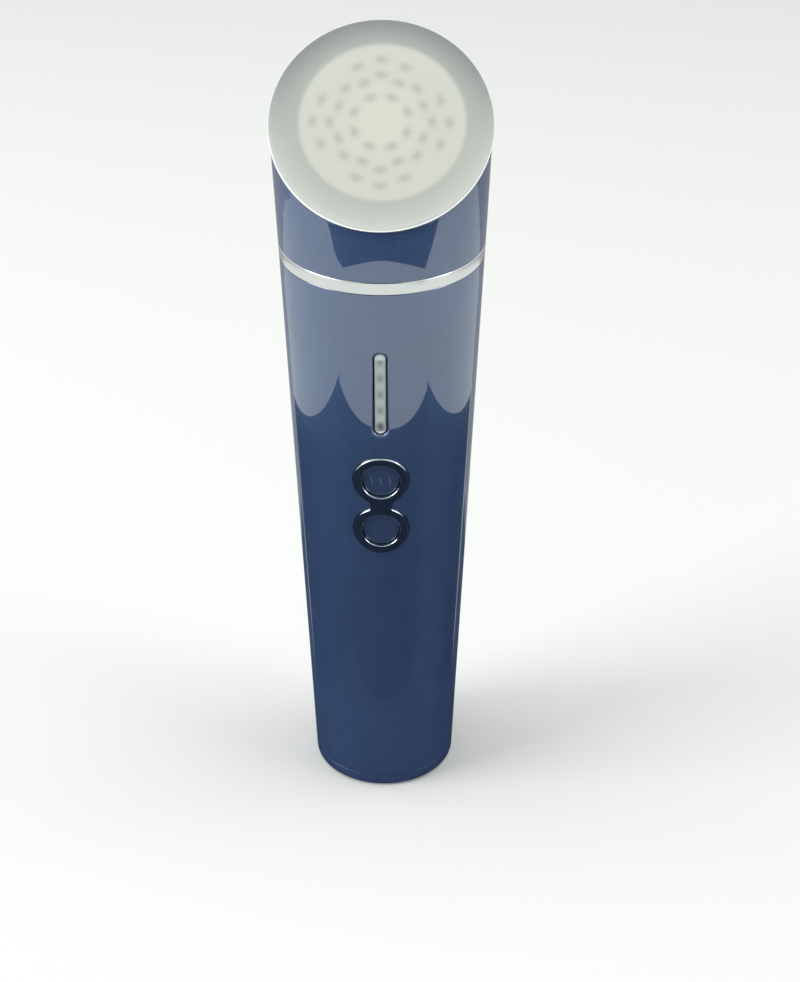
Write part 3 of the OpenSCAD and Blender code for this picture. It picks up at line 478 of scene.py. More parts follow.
def head_tree():
    """The head's skin between the round ring below and the tilted face above, as a closed wall."""
    sizes = {
        "Ring Radius": RING_R,
        "Ring Height": RING_Z,
        "Taper": SLOPE,
        "Face Radius": FACE_R - FACE_OVERHANG,
        "Face Tilt": FACE_TILT,
        "Face Up": FACE_UP,
        "Face Forward": FACE_FWD,
        "Bow": HEAD_BOW,
        "Wall": WALL,
        "Rim Depth": RIM_DEPTH,
        "Rebate Depth": REBATE_DEPTH,
        "Rebate Radius": REBATE_R,
        "Lip": HEAD_LIP,
        "Around": 144,
        "Along": 48,
        "Lip Steps": 5,
    }
    tree, given, leave = shape_tree("head_skin", sizes)
    sine = maths(tree, "SINE", given["Face Tilt"])
    cosine = maths(tree, "COSINE", given["Face Tilt"])
    place = split(tree, position(tree))
    turn = times(tree, plus(tree, place[0], 0.5), 2 * math.pi)
    share = plus(tree, place[1], 0.5)
    outward = combine(tree, maths(tree, "COSINE", turn), maths(tree, "SINE", turn), 0.0)
    rise = vectors(tree, "ADD", scaled(tree, outward, given["Taper"]), (0.0, 0.0, 1.0))
    set_off = vectors(tree, "NORMALIZE", rise)

    def face_ring(radius, depth):
        """Place on a ring about the face's axis, at a depth behind the face."""
        spot = split(tree, scaled(tree, outward, radius))
        y = plus(tree, times(tree, spot[1], cosine), times(tree, depth, sine))
        z = minus(tree, times(tree, spot[1], sine), times(tree, depth, cosine))
        top = plus(tree, given["Ring Height"], given["Face Up"])
        forward = minus(tree, y, given["Face Forward"])
        return combine(tree, spot[0], forward, plus(tree, z, top))

    def ring_place(inset):
        """Place on the ring's plane, at an inset from the ring's edge."""
        flat = scaled(tree, outward, minus(tree, given["Ring Radius"], inset))
        return vectors(tree, "ADD", flat, combine(tree, 0.0, 0.0, given["Ring Height"]))

    def wall(inset, depth):
        """One side of the wall, as its two ends, its directions there and its length."""
        low = ring_place(inset)
        high = face_ring(minus(tree, given["Face Radius"], inset), depth)
        span = vectors(tree, "SUBTRACT", high, low)
        along = vectors(tree, "NORMALIZE", span)
        bent = scaled(tree, vectors(tree, "SUBTRACT", along, set_off), given["Bow"])
        arrive = vectors(tree, "NORMALIZE", vectors(tree, "ADD", along, bent))
        reach = vectors(tree, "LENGTH", span)
        return low, high, scaled(tree, set_off, reach), scaled(tree, arrive, reach), reach

    def on_wall(side, at):
        """Place on one side of the wall, at a share of its way up, by a cubic between its ends."""
        low, high, start, end, _ = side
        square = maths(tree, "POWER", at, 2.0)
        cube = maths(tree, "POWER", at, 3.0)
        blend = minus(tree, times(tree, square, 3.0), times(tree, cube, 2.0))
        bend = minus(tree, cube, times(tree, square, 2.0))
        lead_in = plus(tree, bend, at)
        lead_out = minus(tree, cube, square)
        total = scaled(tree, low, rest_of(tree, blend))
        for part, weight in ((high, blend), (start, lead_in), (end, lead_out)):
            total = vectors(tree, "ADD", total, scaled(tree, part, weight))
        return total

    def between(a, b):
        """Place at the share between two places."""
        return vectors(tree, "ADD", a, scaled(tree, vectors(tree, "SUBTRACT", b, a), share))

    outer = wall(0.0, given["Rim Depth"])
    inner = wall(given["Wall"], given["Rebate Depth"])
    lip_share = maths(tree, "DIVIDE", given["Lip"], outer[4])
    lip_turn = times(tree, share, math.pi / 2)
    lip_up = times(tree, lip_share, rest_of(tree, maths(tree, "COSINE", lip_turn)))
    lip_in = times(tree, given["Lip"], rest_of(tree, maths(tree, "SINE", lip_turn)))
    lip = vectors(tree, "SUBTRACT", on_wall(outer, lip_up), scaled(tree, outward, lip_in))
    climb = plus(tree, lip_share, times(tree, share, rest_of(tree, lip_share)))

    def grid(rows):
        """A grid round the head with a number of rows of faces."""
        across = plus(tree, given["Around"], 1.0)
        return step(tree, "GeometryNodeMeshGrid", 1.0, 1.0, across, plus(tree, rows, 1.0)).outputs[0]

    tall, short, lip_rows = grid(given["Along"]), grid(1.0), grid(given["Lip Steps"])
    rim_outer = on_wall(outer, 1.0)
    rim_inner = face_ring(given["Rebate Radius"], given["Rim Depth"])
    rebate = face_ring(given["Rebate Radius"], given["Rebate Depth"])
    parts = [
        (tall, on_wall(outer, climb)),
        (tall, on_wall(inner, share)),
        (lip_rows, lip),
        (short, between(rim_outer, rim_inner)),
        (short, between(rim_inner, rebate)),
        (short, between(rebate, on_wall(inner, 1.0))),
        (short, between(ring_place(given["Lip"]), ring_place(given["Wall"]))),
    ]
    join = tree.nodes.new("GeometryNodeJoinGeometry")
    for mesh, field in parts:
        moved = step(tree, "GeometryNodeSetPosition", mesh, None, field)
        tree.links.new(moved.outputs[0], join.inputs[0])
    end_tree(tree, given, leave, join.outputs[0])
    return tree


def corner(r, z, start, stop, edge, steps=5):
    """Profile points of a rounded edge about (r, z), its angles in degrees."""
    turns = [math.radians(start + (stop - start) * i / steps) for i in range(steps + 1)]
    return [(r + edge * math.cos(turn), z + edge * math.sin(turn)) for turn in turns]


# Materials

# The shader's own sockets, by the words for them here
SOCKETS = {
    "roughness": "Roughness",
    "metallic": "Metallic",
    "coat": "Coat Weight",
    "coat_roughness": "Coat Roughness",
    "coat_ior": "Coat IOR",
    "specular": "Specular IOR Level",
    "subsurface": "Subsurface Weight",
}


def finish(name, roughness, **values):
    """A material with even values on its shader. Returns it, its tree, its shader and object coordinates."""
    material = bpy.data.materials.new(name)
    material.use_nodes = True
    tree = material.node_tree
    shader = tree.nodes["Principled BSDF"]
    shader.inputs["Subsurface Scale"].default_value = 1 * MM
    for word, value in {"roughness": roughness, **values}.items():
        shader.inputs[SOCKETS[word]].default_value = value
    place = tree.nodes.new("ShaderNodeTexCoord").outputs["Object"]
    return material, tree, shader, place


def noise(tree, place, scale, detail=2.0):
    """Value of a noise pattern, its scale in cycles per metre."""
    node = tree.nodes.new("ShaderNodeTexNoise")
    node.inputs["Scale"].default_value = scale
    node.inputs["Detail"].default_value = detail
    tree.links.new(place, node.inputs["Vector"])
    return node.outputs["Fac"]


def ramp(tree, value, *stops):
    """Colour of a value, from stops of (position, colour)."""
    node = tree.nodes.new("ShaderNodeValToRGB")
    entries = node.color_ramp.elements
    while len(entries) < len(stops):
        entries.new(1.0)
    for entry, (at, colour) in zip(entries, stops):
        entry.position = at
        entry.color = (*colour, 1)
    tree.links.new(value, node.inputs["Fac"])
    return node.outputs["Color"]


def mix(tree, share, a, b):
    """Mix of two colours, each a socket or a colour."""
    node = tree.nodes.new("ShaderNodeMix")
    node.data_type = "RGBA"
    for socket, value in ((node.inputs["Factor"], share), (node.inputs[6], a), (node.inputs[7], b)):
        if isinstance(value, bpy.types.NodeSocket):
            tree.links.new(value, socket)
        else:
            socket.default_value = value if socket.type == "VALUE" else (*value, 1)
    return node.outputs[2]


def dress(tree, shader, colour, height, strength, distance):
    """Gives a shader its colour and a bump pattern, whose distance is in metres."""
    tree.links.new(colour, shader.inputs["Base Color"])
    node = tree.nodes.new("ShaderNodeBump")
    node.inputs["Strength"].default_value = strength
    node.inputs["Distance"].default_value = distance
    tree.links.new(height, node.inputs["Height"])
    tree.links.new(node.outputs["Normal"], shader.inputs["Normal"])


def band(tree, value, low, high):
    """Smooth share from 0 at low to 1 at high."""
    node = tree.nodes.new("ShaderNodeMapRange")
    node.interpolation_type = "SMOOTHERSTEP"
    node.inputs["From Min"].default_value = low
    node.inputs["From Max"].default_value = high
    tree.links.new(value, node.inputs["Value"])
    return node.outputs["Result"]


def squares(tree, a, b):
    """Sum of two squares."""
    return plus(tree, times(tree, a, a), times(tree, b, b))


def soft_spot(tree, a, b):
    """1 where both values are 0, and softly less as either grows."""
    return maths(tree, "EXPONENT", times(tree, squares(tree, a, b), -1.0))


def srgb(r, g, b):
    """Linear colour of an sRGB colour from 0 to 255."""
    return tuple((c / 255 / 12.92) if c <= 10 else ((c / 255 + 0.055) / 1.055) ** 2.4 for c in (r, g, b))


def toned(colour, share):
    """A darker or lighter tone of a colour: the colour times a number."""
    return tuple(share * c for c in colour)


def pearl_paint(name, deep):
    """Navy pearl paint with fine soft flakes under a hard, very glossy clear coat."""
    coat = {"coat": 1.0, "coat_roughness": 0.012, "coat_ior": 2.3}
    material, tree, shader, place = finish(name, 0.45, metallic=0.35, **coat)
    flakes = tree.nodes.new("ShaderNodeTexVoronoi")
    flakes.inputs["Scale"].default_value = 2200
    tree.links.new(place, flakes.inputs["Vector"])
    glint = ramp(tree, flakes.outputs["Color"], (0.0, (0.0,) * 3), (0.6, (0.1,) * 3), (1.0, (0.55,) * 3))
    cloud = noise(tree, place, 90, 4)
    tint = mix(tree, band(tree, cloud, 0.3, 0.7), deep, toned(deep, 1.12))
    bright_flake = tuple(1.3 * c + 0.012 for c in deep)
    colour = mix(tree, glint, tint, bright_flake)
    dress(tree, shader, colour, flakes.outputs["Color"], 0.12, 0.02 * MM)
    return material


def dark_chrome(name, colour, roughness):
    """Dark plated metal, polished, with a faint haze."""
    material, tree, shader, place = finish(name, roughness, metallic=1.0)
    hazed = mix(tree, noise(tree, place, 400, 3), toned(colour, 0.85), colour)
    dress(tree, shader, hazed, noise(tree, place, 2500), 0.05, 0.01 * MM)
    return material


def polished_metal(name, colour, roughness):
    """Bright metal with a faint drawn grain."""
    material, tree, shader, place = finish(name, roughness, metallic=1.0)
    stretched = step(tree, "ShaderNodeMapping", place, None, None, (1, 1, 12)).outputs[0]
    line = noise(tree, stretched, 900, 3)
    dress(tree, shader, mix(tree, line, toned(colour, 0.9), colour), line, 0.15, 0.01 * MM)
    return material


def moulded(name, colour, roughness, **values):
    """Moulded plastic, rubber or ceramic with a fine surface grain and a little uneven colour."""
    material, tree, shader, place = finish(name, roughness, **values)
    clouded = mix(tree, noise(tree, place, 120, 3), toned(colour, 0.88), colour)
    dress(tree, shader, clouded, noise(tree, place, 1500), 0.2, 0.02 * MM)
    return material


# Rings of light marks on the face: how many, their radius in millimetres and the angle of the first
LIGHT_RINGS = [(8, 5.8, 22.5), (8, 10.4, 0), (8, 9.3, 22.5), (4, 13.9, 0), (4, 13.1, 22), (4, 13.1, -22)]
# Size of a soft mark along its ring and across it
LIGHT_L, LIGHT_T = 1.35 * MM, 0.95 * MM
# The backing is seen through the cover: how far it shows up the face, and how much its marks are drawn in
BACKING_SHIFT = 0.35 * MM
BACKING_SQUEEZE = 1.012
# How far the cream circle lies to one side of the face's middle
CREAM_ASIDE = 0.3 * MM


def frosted_face():
    """Frosted face: a cream middle over the backing, marks of the lights behind it and a clear grey edge with
    painted light below and painted shade above, and a rim with a painted highlight and a painted shadow.
    """
    material, tree, shader, place = finish("frosted_face", 0.42, specular=0.35, subsurface=0.08)
    origin = FACE @ Vector((0, BACKING_SHIFT, 0))
    laid = step(tree, "ShaderNodeMapping", place, origin, (FACE_TILT, 0, 0), vector_type="TEXTURE")
    flat = split(tree, laid.outputs[0])
    x, y = flat[0], flat[1]

    def reach(across, up):
        """Distance of a place on the face from its middle."""
        return maths(tree, "SQRT", squares(tree, across, up))

    squeezed = times(tree, y, BACKING_SQUEEZE)
    mark_radius = reach(x, squeezed)
    angle = maths(tree, "ARCTAN2", squeezed, x)

    def lights(count, ring, start):
        """Soft marks of a ring of lights, 1 in their middle."""
        pitch = 2 * math.pi / count
        shifted = plus(tree, angle, 4 * math.pi - math.radians(start) + pitch / 2)
        local = minus(tree, maths(tree, "MODULO", shifted, pitch), pitch / 2)
        along = maths(tree, "DIVIDE", times(tree, local, ring), LIGHT_L)
        across = maths(tree, "DIVIDE", minus(tree, mark_radius, ring), LIGHT_T)
        return soft_spot(tree, along, across)

    marks = None
    for count, ring, start in LIGHT_RINGS:
        found = lights(count, ring * MM, start)
        marks = found if marks is None else maths(tree, "MAXIMUM", marks, found)
    height = maths(tree, "DIVIDE", y, FACE_R)
    radius = reach(minus(tree, x, CREAM_ASIDE), y)
    cream = mix(tree, band(tree, radius, 0.0, 0.55 * FACE_R), srgb(205, 207, 193), srgb(200, 202, 191))
    cream = mix(tree, times(tree, marks, 0.6), cream, srgb(162, 166, 155))
    outward = maths(tree, "DIVIDE", reach(x, y), FACE_R)
    # Painted light and shade: the edge grows lighter towards the rim on the face's lower half and darker
    # towards the rim on its upper half
    painted_lit_low_stops = (0.74, srgb(175, 179, 171)), (0.93, srgb(190, 194, 187)), (1, srgb(203, 207, 201))
    painted_shade_top_stops = (0.74, srgb(166, 172, 166)), (0.88, srgb(143, 150, 147)), (1, srgb(123, 126, 125))
    painted_shade_upward = band(tree, height, -0.75, 0.95)
    edge = mix(tree, painted_shade_upward, ramp(tree, outward, *painted_lit_low_stops), ramp(tree, outward, *painted_shade_top_stops))
    face = mix(tree, band(tree, radius, 0.70 * FACE_R, 0.775 * FACE_R), cream, edge)
    # Behind the face come the cover's rim, painted white as a highlight, and then its side, painted dark as
    # the shadow of the gap where it faces the seal
    depth = times(tree, flat[2], -1.0)
    rim = band(tree, depth, 0.06 * MM, 0.2 * MM)
    behind = band(tree, depth, 0.45 * MM, 0.8 * MM)
    side = mix(tree, behind, srgb(240, 243, 240), srgb(92, 96, 110))
    # Painted highlight: the white rim glows, on the lower half of the face only
    shader.inputs["Emission Color"].default_value = (0.92, 0.94, 0.93, 1)
    painted_highlight_low_side = rest_of(tree, band(tree, height, -0.45, 0.0))
    glow = times(tree, minus(tree, rim, behind), times(tree, painted_highlight_low_side, 0.3))
    tree.links.new(glow, shader.inputs["Emission Strength"])
    dress(tree, shader, mix(tree, rim, face, side), noise(tree, place, 3500), 0.12, 0.01 * MM)
    return material


def milky_window():
    """Milky light bar with a soft spot over each light behind it, and a painted highlight on each of its two
    ends.
    """
    coat = {"coat": 0.6, "coat_roughness": 0.06}
    material, tree, shader, place = finish("milky_window", 0.3, subsurface=0.1, **coat)
    x, _, height = split(tree, place)
    along = minus(tree, height, WINDOW_Z - 2.5 * INDICATOR_PITCH)
    local = minus(tree, maths(tree, "MODULO", along, INDICATOR_PITCH), INDICATOR_PITCH / 2)
    up = maths(tree, "DIVIDE", local, 1.05 * MM)
    across = maths(tree, "DIVIDE", x, 0.75 * MM)
    spot = soft_spot(tree, up, across)
    milk = mix(tree, spot, srgb(178, 187, 185), srgb(130, 141, 138))
    last_low, last_high = WINDOW_Z - 1.8 * INDICATOR_PITCH, WINDOW_Z - 1.5 * INDICATOR_PITCH
    lowest_spot = times(tree, spot, rest_of(tree, band(tree, height, last_low, last_high)))
    milk = mix(tree, lowest_spot, milk, srgb(84, 96, 98))
    half = WINDOW_L / 2 * math.cos(TAPER)
    top, foot = WINDOW_Z + half, WINDOW_Z - half
    # Painted highlights: both rounded ends of the bar are painted lighter, where they catch the light
    top_end_highlight = band(tree, height, top - 1.8 * MM, top - 1.0 * MM)
    low_end_highlight = rest_of(tree, band(tree, height, foot + 0.45 * MM, foot + 0.95 * MM))
    milk = mix(tree, top_end_highlight, milk, srgb(206, 214, 220))
    milk = mix(tree, low_end_highlight, milk, srgb(232, 238, 238))
    dress(tree, shader, milk, noise(tree, place, 2500), 0.1, 0.01 * MM)
    return material


navy = pearl_paint("navy_pearl_paint", srgb(52, 77, 120))
bezel_dark = dark_chrome("bezel_dark_plating", (0.62, 0.68, 0.76), 0.08)
button_navy = pearl_paint("button_navy", srgb(52, 74, 112))
bright = polished_metal("bright_ring_plate", (1.0, 0.98, 0.95), 0.2)
face_finish = frosted_face()
window_finish = milky_window()
mark_grey = moulded("printed_mark_grey", srgb(92, 108, 138), 0.45, coat=1.0)

# The solids that stay as they are, by their finish
FINISHES = {
    polished_metal("screw_steel", (0.62, 0.63, 0.65), 0.32): (
        "sink_screws head_frame_screws neck_screws board_screws base_screws charging_socket"
    ),
    polished_metal("cast_aluminium", (0.72, 0.73, 0.74), 0.4): "contact_plate heat_sink",
    polished_metal("nickel_strip", (0.7, 0.68, 0.63), 0.3): "battery_tabs",
    moulded("seal_rubber", srgb(34, 35, 38), 0.7): "base_seal face_seal",
    moulded("black_frame_plastic", srgb(38, 39, 42), 0.55): (
        "head_frame neck_frame light_shield battery_bands"
    ),
    moulded("grey_chassis_plastic", srgb(82, 85, 90), 0.55): "chassis",
    moulded("board_green", srgb(34, 98, 64), 0.35, coat=0.3): "main_board socket_board",
    moulded("white_light_board", srgb(232, 234, 226), 0.5): "light_board",
    moulded("white_ceramic", srgb(240, 240, 236), 0.45): "thermo_plates",
    moulded("thermal_pad_blue_grey", srgb(143, 163, 184), 0.8): "front_thermal_pad rear_thermal_pad",
    moulded("pellet_grey", srgb(93, 96, 102), 0.5): "thermo_pellets coil",
    moulded("chip_black", srgb(36, 36, 38), 0.45): (
        "heat_sensor mode_switch power_switch control_chip power_chip"
    ),
    moulded("connector_ivory", srgb(226, 222, 208), 0.5): (
        "mode_plunger power_plunger ribbon_connector head_connector battery_connector "
        "charge_connector"
    ),
    moulded("capacitor_tan", srgb(168, 137, 92), 0.45): "capacitors",
    moulded("light_phosphor", srgb(214, 208, 160), 0.4): "face_lights indicator_lights",
    moulded("cell_sleeve_blue", srgb(63, 111, 176), 0.35): "battery_cell",
    moulded("lead_red", srgb(176, 42, 42), 0.45): "thermo_leads battery_leads charge_leads",
    moulded("ribbon_amber", srgb(201, 138, 60), 0.4): "light_ribbon",
}


def dress_solids():
    """Gives the solids that stay as they are their finishes."""
    for material, nodes in FINISHES.items():
        for node in nodes.split():
            give(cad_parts[node].data, material)


dress_solids()

# Camera at the photograph's viewing angle: its place, its lens in millimetres and where it looks
CAMERA_PLACE = (0.01017, -0.39946, 0.32097)
CAMERA_LENS = 75.67
CAMERA_DOWN = math.radians(31.84)
CAMERA_ASIDE = math.radians(-0.91)


def add_camera():
    """The camera, level from side to side."""
    data = bpy.data.cameras.new("camera")
    data.lens = CAMERA_LENS
    data.sensor_width = 36
    data.clip_start = 0.01
    camera = placed("camera", data)
    level = math.cos(CAMERA_DOWN)
    ahead = Vector((math.sin(CAMERA_ASIDE) * level, math.cos(CAMERA_ASIDE) * level, -math.sin(CAMERA_DOWN)))
    right = ahead.cross(Vector((0, 0, 1))).normalized()
    turn = Matrix((right, right.cross(ahead), -ahead)).transposed().to_4x4()
    camera.matrix_world = Matrix.Translation(CAMERA_PLACE) @ turn
    scene.camera = camera


add_camera()


# The tapered handle, cut for the light bar and the bezel


def bezel_hole(grow=0.0):
    """Outline of the handle's hole for the bezel."""
    return figure_eight(BEZEL_ROOM + grow)


def handle_skin():
    """Handle tube with rounded lips round its two cut-outs."""
    bm = bmesh.new()
    low, high = CAP_H + SEAM_GROOVE, RING_LOW - SEAM_GROOVE
    half = math.pi * RING_R
    wide, tall = 180, 60
    columns = [-half + 2 * half * i / wide for i in range(wide)]
    levels = [low + (high - low) * j / tall for j in range(tall)]
    window_hole = slot(WINDOW_W + 2 * WINDOW_GAP, WINDOW_L + 2 * WINDOW_GAP)
    cuts = [(WINDOW_Z, window_hole, WINDOW_LIP), (PANEL_Z, bezel_hole, BEZEL_LIP)]

    def unrolled(places):
        """Places on the body as points of its unrolled surface."""
        return [(math.atan2(place.x, -place.y) * RING_R, place.z) for place in places]

    def rolled(points, height):
        """Points of the unrolled surface as places at a height above the body."""
        places = []
        for across, z in points:
            turn = across / RING_R
            r = body_r(z) + height
            places.append(Vector((r * math.sin(turn), -r * math.cos(turn), z)))
        return places

    def hoop(z, height):
        """Ring of places round the body, at a height above it."""
        return rolled([(x, z) for x in columns], height)

    outer = [(x, low) for x in columns] + [(half, z) for z in levels]
    outer += [(-x, high) for x in columns] + [(-half, high - (high - low) * j / tall) for j in range(tall)]
    holes = [unrolled(raised(z, hole(edge), 0)) for z, hole, edge in cuts]
    hole_points = [p for hole in holes for p in hole]

    def free(p):
        """Whether a point lies clear of the cut-outs. None of them reaches 9 mm to either side."""
        if abs(p[0]) >= 9 * MM:
            return True
        if any(inside(p, hole) for hole in holes):
            return False
        return min(apart(p, q) for q in hole_points) >= 0.5 * MM

    fill = [(x, z) for x in columns[1:] for z in levels[1:] if free((x, z))]
    corners, faces = triangles(outer, holes, fill)
    patch(bm, rolled(corners, 0), faces)
    for z, hole, edge in cuts:
        lips = [raised(z, hole(inset), -drop) for inset, drop in fillet(edge)]
        skin(bm, [raised(z, hole(0), -WALL), *lips])
    inner_holes = [unrolled(raised(z, hole(0), -WALL)) for z, hole, edge in cuts]
    corners, faces = triangles(outer, inner_holes)
    patch(bm, rolled(corners, -WALL), faces)
    for z, end in ((low, CAP_H), (high, RING_LOW)):
        skin(bm, [hoop(z, 0), hoop(end, -SEAM_GROOVE), hoop(end, -WALL), hoop(z, -WALL)])
    return sewn("handle_skin", bm)


handle = piece("handle_skin", handle_skin(), navy, "body", ["handle_shell"])
true_normals(handle.data, on_cone(0))

# The head's skin, by the rule of its tree
head = grown(head_tree(), bpy.data.meshes.new("seed"), navy)
piece("head_skin", head, navy, "body", ["head_shell"])

turned = turned_tree()


def turned_piece(name, points, material, nodes, place=None):
    """A piece turned from its profile, as (radius, height), on the body and in its own place."""
    profile = bpy.data.meshes.new("profile")
    profile.from_pydata([(r, 0, z) for r, z in points], [], [])
    mesh = grown(turned, profile, material)
    if place is not None:
        mesh.transform(place)
    return piece(name, mesh, material, "body", nodes)


def bright_ring():
    """Bright ring between handle and head."""
    deep = WALL + 0.05 * MM
    points = corner(body_r(RING_LOW) - RING_EDGE, RING_LOW + RING_EDGE, -90, 0, RING_EDGE)
    points += corner(RING_R - RING_EDGE, RING_Z - RING_EDGE, 0, 90, RING_EDGE)
    points += [(RING_R - deep, RING_Z), (body_r(RING_LOW) - deep, RING_LOW)]
    turned_piece("bright_ring", points + points[:1], bright, ["trim_ring"])


def face_cover():
    """Frosted face with its rounded edge, and the skirt behind it."""
    rear_edge = 0.15 * MM
    skirt_in = SPIGOT_R - SKIRT_T
    points = [(0, 0), (0.5 * FACE_R, 0), (0.9 * FACE_R, 0)]
    points += corner(FACE_R - FACE_EDGE, -FACE_EDGE, 90, 0, FACE_EDGE, 8)
    points += corner(FACE_R - rear_edge, -FACE_PROUD + rear_edge, 0, -90, rear_edge, 3)
    points += [(SPIGOT_R, -FACE_PROUD), (SPIGOT_R, -SKIRT_DEPTH)]
    points += [(skirt_in, -SKIRT_DEPTH), (skirt_in, -COVER_T), (0, -COVER_T)]
    turned_piece("frosted_face", points, face_finish, ["face_cover"], FACE)


def bezel_frame():
    """Bezel in the outline of a figure eight, with its two wells."""
    bm = bmesh.new()
    wells = [disc(BUTTON_R + BUTTON_GAP, side * BUTTON_PITCH / 2) for side in (1, -1)]
    plate(bm, PANEL_Z, figure_eight, BEZEL_PROUD, edge=0.3 * MM, back=-1.4 * MM, holes=wells, pitch=0.6 * MM)
    mesh = sewn("bezel_frame", bm)
    piece("bezel_frame", mesh, bezel_dark, "body", ["button_bezel"], sharp=50)
    true_normals(mesh, on_cone(BEZEL_PROUD))


# A button's flange and stem, each as its radius and its front and rear ends above the body's surface
BUTTON_DISCS = [(4.8 * MM, -4.7 * MM, -5.5 * MM), (1.6 * MM, -5.45 * MM, -6.2 * MM)]


def button(name, z, body, node):
    """Push button: a cap that follows the body's curve, its flange and its stem."""
    bm = bmesh.new()
    plate(bm, z, disc(BUTTON_R), -BUTTON_RECESS, edge=0.25 * MM, back=-4.8 * MM, pitch=0.9 * MM)
    front = Matrix.Translation((0, -body_r(z), z)) @ Matrix.Rotation(math.pi / 2 + TAPER, 4, "X")
    for r, top, rear in BUTTON_DISCS:
        ring = circle(r, steps=48)
        capped_skin(bm, [[front @ Vector((x, y, height)) for x, y in ring] for height in (rear, top)])
    mesh = sewn(name, bm)
    piece(name, mesh, button_navy, body, [node], sharp=50)
    true_normals(mesh, on_cone(-BUTTON_RECESS))


# The printed strokes: their distance, height, width, swing and how far below the button's middle they lie
MARK_PITCH = 1.95 * MM
MARK_H = 1.9 * MM
MARK_W = 0.2 * MM
MARK_SWING = 0.17 * MM
MARK_DROP = 0.25 * MM
# How far a stroke reaches into the button and stands out of it
MARK_IN, MARK_OUT = 0.05 * MM, 0.015 * MM


def mode_mark():
    """Three wavy strokes in fine print on the mode button, the plain sign for warmth."""
    bm = bmesh.new()
    steps = 24
    edges = [(-1, -MARK_IN), (1, -MARK_IN), (1, MARK_OUT), (-1, MARK_OUT)]
    for stroke in (-1, 0, 1):
        rings = []
        for i in range(steps + 1):
            wave = 2 * math.pi * i / steps
            x = stroke * MARK_PITCH + MARK_SWING * math.sin(wave)
            up = MARK_H * (i / steps - 0.5) - MARK_DROP
            lean = math.atan2(MARK_SWING * 2 * math.pi * math.cos(wave), MARK_H)
            side_x, side_up = MARK_W / 2 * math.cos(lean), -MARK_W / 2 * math.sin(lean)
            ring = [(x + s * side_x, up + s * side_up, height - BUTTON_RECESS) for s, height in edges]
            rings.append([on_front(BUTTON_Z[0], *point) for point in ring])
        capped_skin(bm, rings)
    piece("mode_mark", sewn("mode_mark", bm), mark_grey, "mode_button")


def light_bar():
    """Milky light bar in the handle's upper cut-out."""
    bm = bmesh.new()
    plate(bm, WINDOW_Z, slot(WINDOW_W, WINDOW_L), -WINDOW_RECESS, edge=0.4 * MM, back=-2.6 * MM)
    mesh = sewn("light_bar", bm)
    piece("light_bar", mesh, window_finish, "body", ["indicator_window"], sharp=60)


# Base cap: legs of its screws, floor, spigot, seal, the screws' sinks and bores, and the socket's mouth
LEG_X = BASE_R - 2 * WALL - 2.4 * MM
LEG_Y = 2.13 * MM
CAP_FLOOR = 2.4 * MM
SPIGOT_TOP = 9 * MM
SPIGOT_T = 1.5 * MM
SPIGOT_IN = WALL + 0.1 * MM
SEAL_Z = 6 * MM
SEAL_R = 0.6 * MM
SINK_R, SINK_DEPTH = 2 * MM, 1.4 * MM
BORE_R = 1.02 * MM
MOUTH_W, MOUTH_H = 9.14 * MM, 3.46 * MM


def socket_mouth(grow=0.0):
    """Outline of the charging socket's opening, lying along X."""
    return [(-y, x) for x, y in slot(MOUTH_H, MOUTH_W)(grow)]


def at_height(outline, z):
    """Points of an outline at a height."""
    return [Vector((x, y, z)) for x, y in outline]


def base_cap():
    """Base cap with the socket's opening and the two screws' sinks."""

    def at_legs(r):
        """Circle round each leg's screw."""
        return [circle(r, side * LEG_X, LEG_Y, 40) for side in (1, -1)]

    bm = bmesh.new()
    foot_r = body_r(CAP_EDGE) - CAP_EDGE
    floor_r = body_r(CAP_FLOOR) - SPIGOT_IN - SPIGOT_T
    under_holes = [socket_mouth(MOUTH_EDGE), *at_legs(SINK_R + MOUTH_EDGE)]
    corners, faces = triangles(circle(foot_r, steps=160), under_holes)
    patch(bm, at_height(corners, 0), faces)
    corners, faces = triangles(circle(floor_r, steps=160), [socket_mouth(), *at_legs(BORE_R)])
    patch(bm, at_height(corners, CAP_FLOOR), faces)
    edge = fillet(MOUTH_EDGE)
    mouth = [at_height(socket_mouth(inset), drop) for inset, drop in edge]
    skin(bm, [at_height(socket_mouth(), CAP_FLOOR), *mouth])
    steps = [(BORE_R, CAP_FLOOR), (BORE_R, SINK_DEPTH), (SINK_R, SINK_DEPTH)]
    steps += [(SINK_R + inset, drop) for inset, drop in edge]
    for leg in range(2):
        skin(bm, [at_height(at_legs(r)[leg], z) for r, z in steps])
    spigot = body_r(SPIGOT_TOP) - SPIGOT_IN
    rim = body_r(CAP_H)
    points = corner(foot_r, CAP_EDGE, -90, 0, CAP_EDGE, 8)
    points += [(rim, CAP_H - SEAM_GROOVE), (rim - SEAM_GROOVE, CAP_H), (rim - SPIGOT_IN, CAP_H)]
    points += corner(body_r(SEAL_Z) - SPIGOT_IN, SEAL_Z, -90, -270, SEAL_R, 12)
    points += [(spigot, SPIGOT_TOP), (spigot - SPIGOT_T, SPIGOT_TOP), (floor_r, CAP_FLOOR)]
    skin(bm, [at_height(circle(r, steps=160), z) for r, z in points])
    piece("base_cap_shell", sewn("base_cap_shell", bm), navy, "body", ["base_cap"])


bright_ring()
face_cover()
bezel_frame()
button("mode_button_cap", BUTTON_Z[0], "mode_button", "mode_button")
button("power_button_cap", BUTTON_Z[1], "power_button", "power_button")
mode_mark()
light_bar()
base_cap()

# Floor, backdrop and light


def stage_plane(name, corners, material):
    """A flat part of the stage."""
    mesh = bpy.data.meshes.new(name)
    mesh.from_pydata(corners, [], [range(len(corners))])
    give(mesh, material)
    made = placed(name, mesh)
    return made


